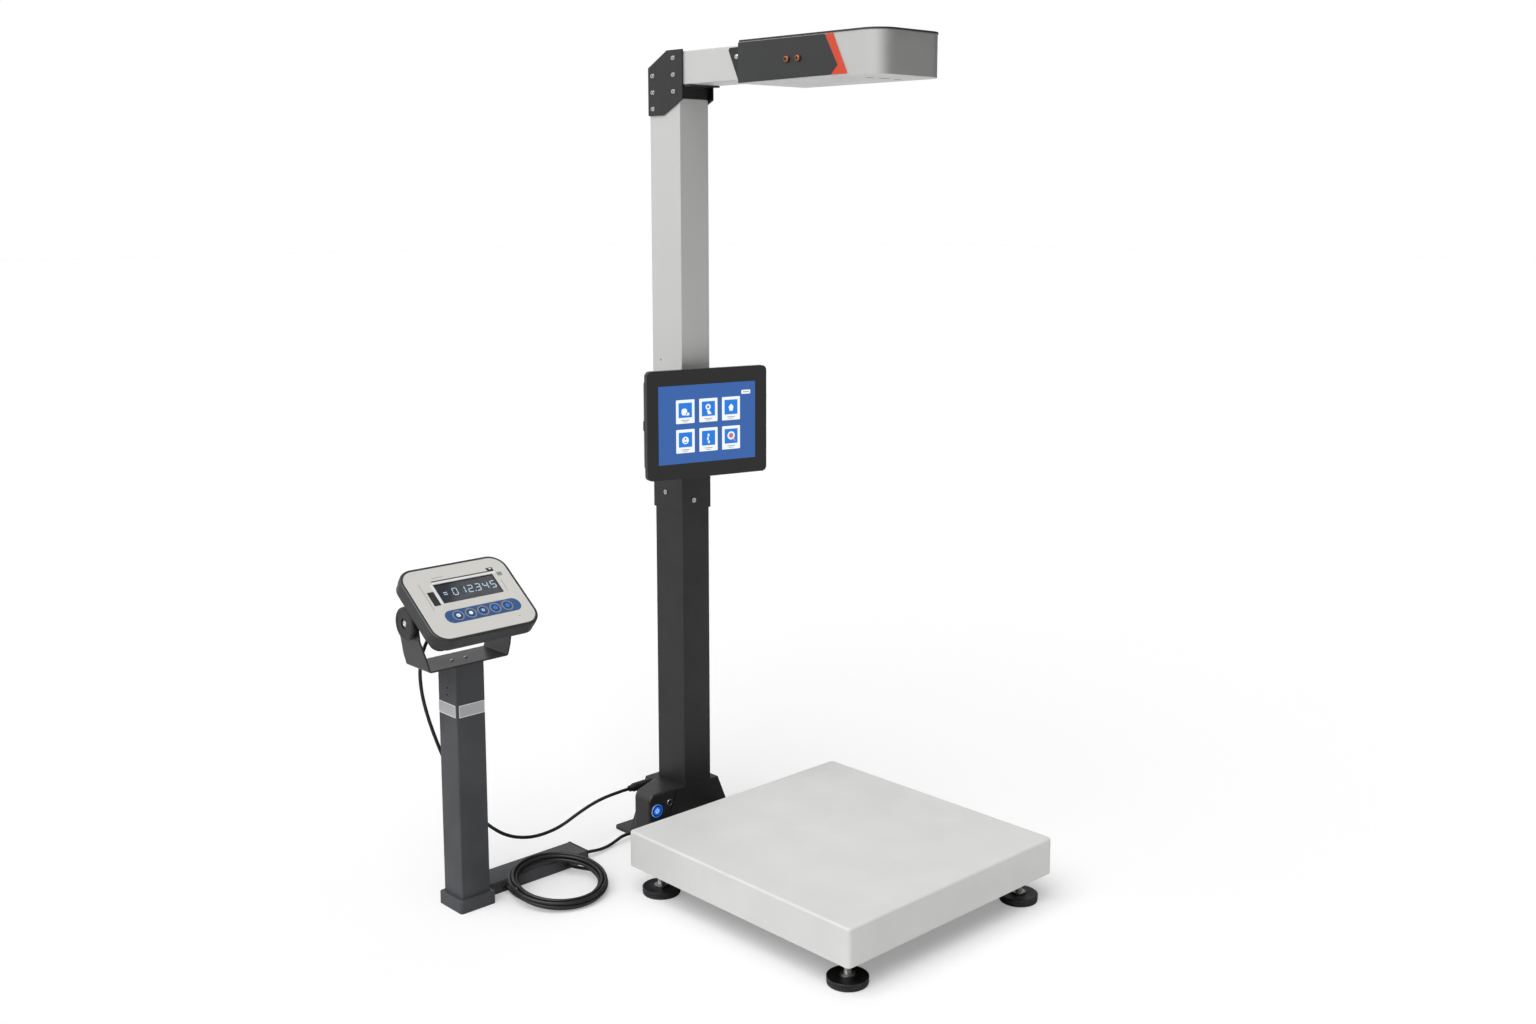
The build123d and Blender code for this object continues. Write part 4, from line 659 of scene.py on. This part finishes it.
def makeScrews():
    left, right = (-1, 0, 0), (1, 0, 0)
    # dark hex discs in the corner screws' sockets: painted shade of the recess
    hexagon = latheMesh("hexagon", [(0, -0.6), (screws["socketRadius"], -0.6), (screws["socketRadius"], 0.08), (0, 0.08)], 6)
    spots = [((screws["cornerLeft"] - screws["headOut"], y, z), left) for y, z in screws["corner"]]
    spots += [((screws["cornerRight"] + screws["headOut"], y, z), right) for y, z in screws["corner"]]
    repeatOnSpots("cornerSockets", spots, scaledMesh(hexagon), "upper_mast", "blackPrintAndShade", roll=6.28)
    # dark discs in the collar screws' sockets: painted shade of the recess
    collar = [((136.0 - 0.55, 291.0, 653.5), left), ((162.0, 244.0 - 0.55, 641.5), (0, -1, 0))]
    dark = latheMesh("collarSocketShade", [(0, -0.2), (1.75, -0.2), (1.75, 0.1), (0, 0.1)], 6)
    repeatOnSpots("collarSockets", collar, scaledMesh(dark), "upper_mast", "blackPrintAndShade")
    r = screws["copperRadius"]
    dome = [(0, -1), (r - 0.8, -1), (r - 0.8, 0), (r, 0.6), (r, 2.2), (r - 0.7, 3.6), (r - 2.0, 4.3), (2.7, 4.4), (2.4, 3.0), (0, 3.0)]
    copper = [((92.0, y, z), left) for y, z in screws["copper"]] + [((248.0, y, z), right) for y, z in screws["copper"]]
    repeatOnSpots("copperScrews", copper, scaledMesh(latheMesh("dome", dome, 32)), "upper_mast", "copperScrew")
    # dark hex disc in each copper screw's socket: painted shade of the recess
    well = latheMesh("well", [(0, 2.9), (2.5, 2.9), (2.5, 3.2), (0, 3.2)], 6)
    repeatOnSpots("copperSockets", copper, scaledMesh(well), "upper_mast", "blackPrintAndShade", roll=6.28, seed=7)
    small = [(0, -1), (4.4, -1), (4.4, 0.8), (3.6, 2.0), (2.2, 2.6), (1.6, 2.6), (1.6, 1.4), (0, 1.4)]
    mount = [((133.5, y, z), left) for y, z in screws["mount"]] + [((206.5, y, z), right) for y, z in screws["mount"]]
    repeatOnSpots("mountScrews", mount, scaledMesh(latheMesh("small", small, 24)), "upper_mast", "zincSteel")
    tiny = [(0, -0.5), (3.2, -0.5), (3.2, 0.5), (2.2, 1.5), (0, 1.8)]
    yoke = [(screws["yoke"], (0, 0, 1)), ((-318.6, 302.3, 427.0), (0, 0, 1))]
    repeatOnSpots("yokeScrews", yoke, scaledMesh(latheMesh("tiny", tiny, 24)), "root", "zincSteel")
    print("screws ready")


# Power button, socket and the lead's grommets

button = {"centre": (70.5, 248.0, 74.0), "proud": 2.2, "capFront": 2.0, "socket": (101.5, 248.0, 82.0)}


def makeButton():
    x, y, z = button["centre"]
    place = placeOn((x, y, z), (0, -1, 0), (0, 0, 1))
    face = button["proud"]
    turnedPiece("powerRing", [(10.4, face - 0.4), (12.0, face - 0.4), (12.2, face + 0.1), (11.9, face + 0.45), (10.8, face + 0.45),
                              (10.4, face + 0.1), (10.4, face - 0.4)], place, "root", "litBlueRing")
    turnedPiece("powerCollar", [(7.85, face - 0.3), (10.4, face - 0.3), (10.4, face + 0.3), (8.4, face + 0.3), (7.85, face - 0.1),
                                (7.85, face - 0.3)], place, "root", "blackAbs")
    flatPiece("powerSign", [arcBand(0, 0, 3.3, 1.1, 125, 415), bar(0, 3.2, 1.1, 3.6)], 0, 0.15,
              placeOn((x, y - button["capFront"], z), (0, -1, 0), (0, 0, 1)), "power_key", "litPaleAndKeyHighlight")
    sx, sy, sz = button["socket"]
    turnedPiece("socketInsert", [(0, -2.5), (4.1, -2.5), (4.1, 0.4), (2.6, 0.4), (2.4, -1.5), (0, -1.5)],
                placeOn((sx, sy, sz), (0, -1, 0), (0, 0, 1)), "root", "blackAbs", 32)


grommet = {"tails": [(-236.5, 289.0, 11.0), (-103.5, 289.0, 11.0)], "end": (-56.0, 305.0, 11.0), "radius": 5.4}


def makeGrommets():  # soft rings where the spare lead and the mast lead leave the foot bar
    r = grommet["radius"]
    ring = [(3.05, -1.5), (r - 1, -1.5), (r - 1, 0), (r, 0), (r, 1.4), (r - 0.6, 2.2), (4.0, 3.4), (3.05, 3.6), (3.05, -1.5)]
    spots = [(place, (0, -1, 0)) for place in grommet["tails"]] + [(grommet["end"], (1, 0, 0))]
    repeatOnSpots("leadGrommets", spots, scaledMesh(latheMesh("ring", ring, 28)), "root", "bufferRubber")


# Operator screen: blue page with six cards and a round sign on each

screen = {"centre": (-1.25, 0.0), "size": (194.5, 139.0), "card": (36.7, 42.0), "picture": (26.6, 26.4), "pictureUp": 2.5,
          "columns": (-45.8, 0.4, 46.3), "rows": (22.7, -29.9)}


def makeScreen():
    place = placeOn((156.0, 196.0, 789.0), (-0.22835, -0.97358, 0), (0, 0, 1))
    body, slotName = "tablet", "tablet_glass"
    x0, y0 = screen["centre"]
    width, height = screen["size"]
    cardW, cardH = screen["card"]
    picW, picH = screen["picture"]
    cards = [(x, y) for y in screen["rows"] for x in screen["columns"]]
    pictures = [(x, y + screen["pictureUp"]) for x, y in cards]
    flatPiece("screenPage", [roundedRect(x0, y0, width, height, 0.6)], 0.0, 0.10, place, body, "screenBlue")
    flatPiece("screenCards", [roundedRect(x, y, cardW, cardH, 1.2) for x, y in cards] +
              [roundedRect(76.8, 50.7, 18.6, 7.2, 2.0)], 0.08, 0.16, place, body, "screenCard")
    flatPiece("cardPictures", [roundedRect(x, y, picW, picH, 0.8) for x, y in pictures], 0.15, 0.22, place, body,
              "screenIconAndKeyHighlight")
    (ax, ay), (bx, by), (cx, cy), (dx, dy), (ex, ey), (fx, fy) = pictures
    signs = [roundedRect(ax - 2, ay - 3, 11, 12, 4), roundedRect(ax + 4.5, ay - 7, 7, 5, 1.5),
             disc(bx - 0.5, by + 3.2, 5.2), disc(bx - 0.5, by + 3.2, 2.4), [(bx - 3, by - 3), (bx + 2, by - 3), (bx + 6.5, by - 10), (bx - 1, by - 10)],
             [(cx, cy + 6), (cx + 5, cy + 1), (cx + 3.4, cy - 7), (cx - 2.6, cy - 7), (cx - 5, cy + 0.5)],
             disc(dx, dy - 1, 6.6), disc(dx, dy + 1.5, 1.8), bar(dx, dy - 4.4, 5.6, 1.8),
             roundedRect(ex, ey + 5.0, 3.4, 5.6, 1.4), roundedRect(ex - 1.4, ey - 1.2, 3.0, 6.0, 1.3), roundedRect(ex + 0.6, ey - 7.2, 3.6, 5.0, 1.4),
             disc(fx, fy + 1, 7.4), disc(fx, fy + 1, 4.6)]
    flatPiece("cardSigns", signs, 0.20, 0.27, place, body, "screenCard")
    flatPiece("cardOrange", [disc(fx, fy + 1, 4.5), disc(fx, fy + 1, 2.6), disc(fx, fy + 1, 1.5, 16),
                             [(fx + 4.6, fy - 5.4), (fx + 6.2, fy - 4.2), (fx + 9.2, fy - 8.6), (fx + 7.2, fy - 9.6)]],
              0.20, 0.27, place, body, "screenOrange")
    lines = [bar(x, y - 15.2, 16, 1.1) for x, y in cards] + [bar(x, y - 18.0, 10, 0.9) for x, y in cards]
    flatPiece("cardLines", lines + [bar(76.8, 50.7, 13, 1.2)], 0.15, 0.20, place, body, "greyFilm")
    print("screen ready")


# Indicator face: pale film, printed marks, lit digits and round key signs, partly painted highlight

panel = {"origin": (-305.5, 263.581, 539.433), "out": (0, -0.587785, 0.809017), "up": (0, 0.809017, 0.587785),
         "film": (-0.75, -0.30), "filmSize": (193.4, 147.4, 24.7), "window": (7.5, 18.0, 115.0, 42.0),
         "keys": [(8.0 + (k - 2) * 23.5, -32.0) for k in range(5)], "keyTop": 0.4, "displayFront": -1.2,
         "pill": (8.6, -32.4, 143.0, 27.0), "digitHigh": 14.0, "digitWide": 8.2, "digitStart": -18.0, "digitPitch": 14.7}


def digitLoops(x, y, which, stroke=1.5, slant=0.1):  # lit segments of one digit, as six-sided bars
    wide, high = panel["digitWide"], panel["digitHigh"]
    half, quarter = wide / 2, high / 4
    level = {"a": (0, 2 * quarter), "g": (0, 0), "d": (0, -2 * quarter)}
    upright = {"f": (-half, quarter), "b": (half, quarter), "e": (-half, -quarter), "c": (half, -quarter)}
    lit = {0: "abcdef", 1: "bc", 2: "abged", 3: "abgcd", 4: "fgbc", 5: "afgcd", 8: "abcdefg"}[which]
    loops = []
    for name in lit:
        s = stroke / 2
        if name in level:
            cx, cy = level[name]
            l = half - s - 0.25
            loop = [(-l - s, 0), (-l, -s), (l, -s), (l + s, 0), (l, s), (-l, s)]
        else:
            cx, cy = upright[name]
            l = quarter - s - 0.25
            loop = [(0, -l - s), (s, -l), (s, l), (0, l + s), (-s, l), (-s, -l)]
        loops.append([(x + cx + px + slant * (cy + py), y + cy + py) for px, py in loop])
    return loops


def makePanel():
    place = placeOn(panel["origin"], panel["out"], panel["up"])
    body = "indicator"
    low, high = panel["film"]
    wx, wy, ww, wh = panel["window"]
    keys = panel["keys"]
    holes = [roundedRect(wx, wy, ww, wh, 1.0)] + [disc(x, y, 7.9) for x, y in keys]
    fw, fh, fr = panel["filmSize"]
    flatPiece("faceFilm", [roundedRect(0, 0, fw, fh, fr, 10)] + holes, low, high, place, body, "paleFilm")
    px, py, pw, ph = panel["pill"]
    flatPiece("keyStrip", [roundedRect(px, py, pw, ph, 13.2, 10)] + holes[1:], high, high + 0.12, place, body, "blueFilm")
    flatPiece("keyRings", [loop for x, y in keys for loop in (disc(x, y, 10.5), disc(x, y, 8.1))], high + 0.12, high + 0.45, place,
              body, "ringFilm", edge=0.1)
    flatPiece("darkPrint", [bar(wx + 3.5, 45.4, 121.0, 2.2), [(60.5, 46.4), (71.5, 46.4), (71.5, 53.0), (58.5, 53.0)],
                            bar(-62.2, 10.0, 12.2, 29.6)], high, high + 0.08, place, body, "blackPrintAndShade")
    flatPiece("whitePrint", [bar(wx + 3.5, 41.9, 121.0, 4.0), bar(-53.1, 18.4, 4.2, 42.8), bar(66.5, 50.4, 4.6, 2.6)],
              high, high + 0.10, place, body, "whiteFilm")
    flatPiece("greyPrint", [bar(-73.4, 16.0, 0.8, 58.0), bar(73.4, 10.5, 0.9, 26.0), bar(-34.4, 52.4, 20.6, 0.9),
                            roundedRect(78.0, 36.4, 9.4, 8.2, 0.8), bar(65.0, -57.0, 4.0, 1.0)],
              high, high + 0.08, place, body, "greyFilm")
    front = panel["displayFront"]
    reading = (0, 1, 2, 3, 4, 5)
    places = [panel["digitStart"] + k * panel["digitPitch"] for k in range(6)]
    lit = [loop for k, x in zip(reading, places) for loop in digitLoops(x, wy, k)]
    ghost = [loop for k, x in zip(reading, places) for loop in digitLoops(x, wy, 8) if loop not in digitLoops(x, wy, k)]
    point = places[2] + panel["digitPitch"] / 2
    flatPiece("litDigits", lit + [disc(point, wy - 6.6, 1.1, 16), bar(-36.5, wy + 1.6, 7.0, 1.6), bar(-36.5, wy - 2.4, 7.0, 1.6)],
              front + 0.02, front + 0.10, place, body, "litDigits")
    flatPiece("ghostDigits", ghost, front + 0.02, front + 0.06, place, body, "dimDigits")
    flatPiece("windowFrame", [roundedRect(wx, wy, ww - 0.2, wh - 0.2, 0.9), roundedRect(wx, wy, ww - 3.0, wh - 3.0, 0.8)],
              front + 0.02, high - 0.02, place, body, "blackPrintAndShade")
    makeKeySignsAndHighlights()
    print("panel ready")


def makeKeySignsAndHighlights():  # generic signs, partly painted highlight: each key's white or light-blue dot is painted highlight given its own glow; drawn as a disc, a dot in a ring, a small ring, and two discs with a bar
    out = Vector(panel["out"])
    origin = Vector(panel["origin"]) + out * panel["keyTop"]
    # glowing discs on the key tops: painted highlight, shaped as signs with bars and rings
    signs = [("litPaleAndKeyHighlight", [disc(0, 0, 3.6), bar(0, 0, 3.2, 1.0)]), ("litPaleAndKeyHighlight", [disc(0, 0, 3.6)]),
             ("litPaleAndKeyHighlight", [disc(0, 0.4, 2.6), disc(0, 0.4, 1.5)]), ("screenIconAndKeyHighlight", [disc(0, 0, 3.8), bar(0, 0, 1.2, 4.0)]),
             ("screenIconAndKeyHighlight", [disc(0, -0.4, 3.8), bar(0, -0.4, 4.0, 1.1)])]
    for k, ((x, y), (paint, loops)) in enumerate(zip(panel["keys"], signs)):
        place = placeOn(origin, panel["out"], panel["up"]) @ Matrix.Translation((x, y, 0))
        flatPiece("keySign%d" % (k + 1), loops, 0.0, 0.1, place, "key_%d_body" % (k + 1), paint)
        flatPiece("keyEdge%d" % (k + 1), [disc(0, 0, 7.0), disc(0, 0, 6.2)], 0.0, 0.1, place, "key_%d_body" % (k + 1),
                  "blackPrintAndShade")


# Clamp knobs: steel stud end in the hub, and shallow grips round the rim

knobs = {"left": ("clamp_knob_left", -1), "right": ("clamp_knob_right", 1), "outside": 99.9, "axis": (-305.5, 303.7, 504.8),
         "hubFloor": 1.5, "radius": 27.0, "thick": 9.0, "grips": 48}


def makeKnobs():
    x, y, z = knobs["axis"]
    for name in ("left", "right"):
        body, side = knobs[name]
        place = placeOn((x + side * knobs["outside"], y, z), (side, 0, 0), (0, 0, 1))
        f = -knobs["hubFloor"]
        turnedPiece(name + "Stud", [(0, f), (5.0, f), (5.0, f + 0.5), (4.3, f + 0.9), (3.7, f + 1.3), (2.2, f + 1.3), (1.9, f + 0.6), (0, f + 0.6)],
                    place, body, "polishedSteel", 32)
        turnedPiece(name + "Rim", [(21.0, -0.4), (24.2, -0.4), (24.2, 0.25), (23.8, 0.5), (21.4, 0.5), (21.0, 0.25), (21.0, -0.4)],
                    place, body, "knobNylon", 64)
        middle = x + side * (knobs["outside"] - knobs["thick"] / 2)
        spots = [((middle, y + (knobs["radius"] - 0.25) * cos(a), z + (knobs["radius"] - 0.25) * sin(a)), (0, cos(a), sin(a)))
                 for a in (2 * pi * k / knobs["grips"] for k in range(knobs["grips"]))]
        grip = latheMesh("grip", [(0, -2.8), (0.6, -2.6), (0.6, 2.6), (0, 2.8)], 8)
        grip.transform(Matrix.Rotation(pi / 2, 4, "Y"))
        repeatOnSpots(name + "Grips", spots, scaledMesh(grip), body, "knobNylon")
    print("knobs ready")


# Bare label bands on two faces of the indicator's post

band = {"middle": 347.5, "height": 21.0, "rim": 1.5, "thick": 0.5,
        "faces": [((-333.0, 298.6, 0), (-1, 0, 0), 50.0), ((-304.1, 269.5, 0), (0, -1, 0), 50.0)]}


def makeBands():
    for k, ((x, y, z), out, wide) in enumerate(band["faces"]):
        place = placeOn((x, y, band["middle"]), out, (0, 0, 1))
        outer = roundedRect(0, 0, wide, band["height"], 0.8)
        inner = roundedRect(0, 0, wide - 2 * band["rim"], band["height"] - 2 * band["rim"], 0.5)
        flatPiece("bandPlate%d" % k, [inner], 0, band["thick"] - 0.15, place, "root", "bandFilm")
        flatPiece("bandRim%d" % k, [outer, inner], 0, band["thick"], place, "root", "whiteFilm", edge=0.1)


makeFeet()
makeScrews()
makeButton()
makeGrommets()
makeScreen()
makePanel()
makeKnobs()
makeBands()
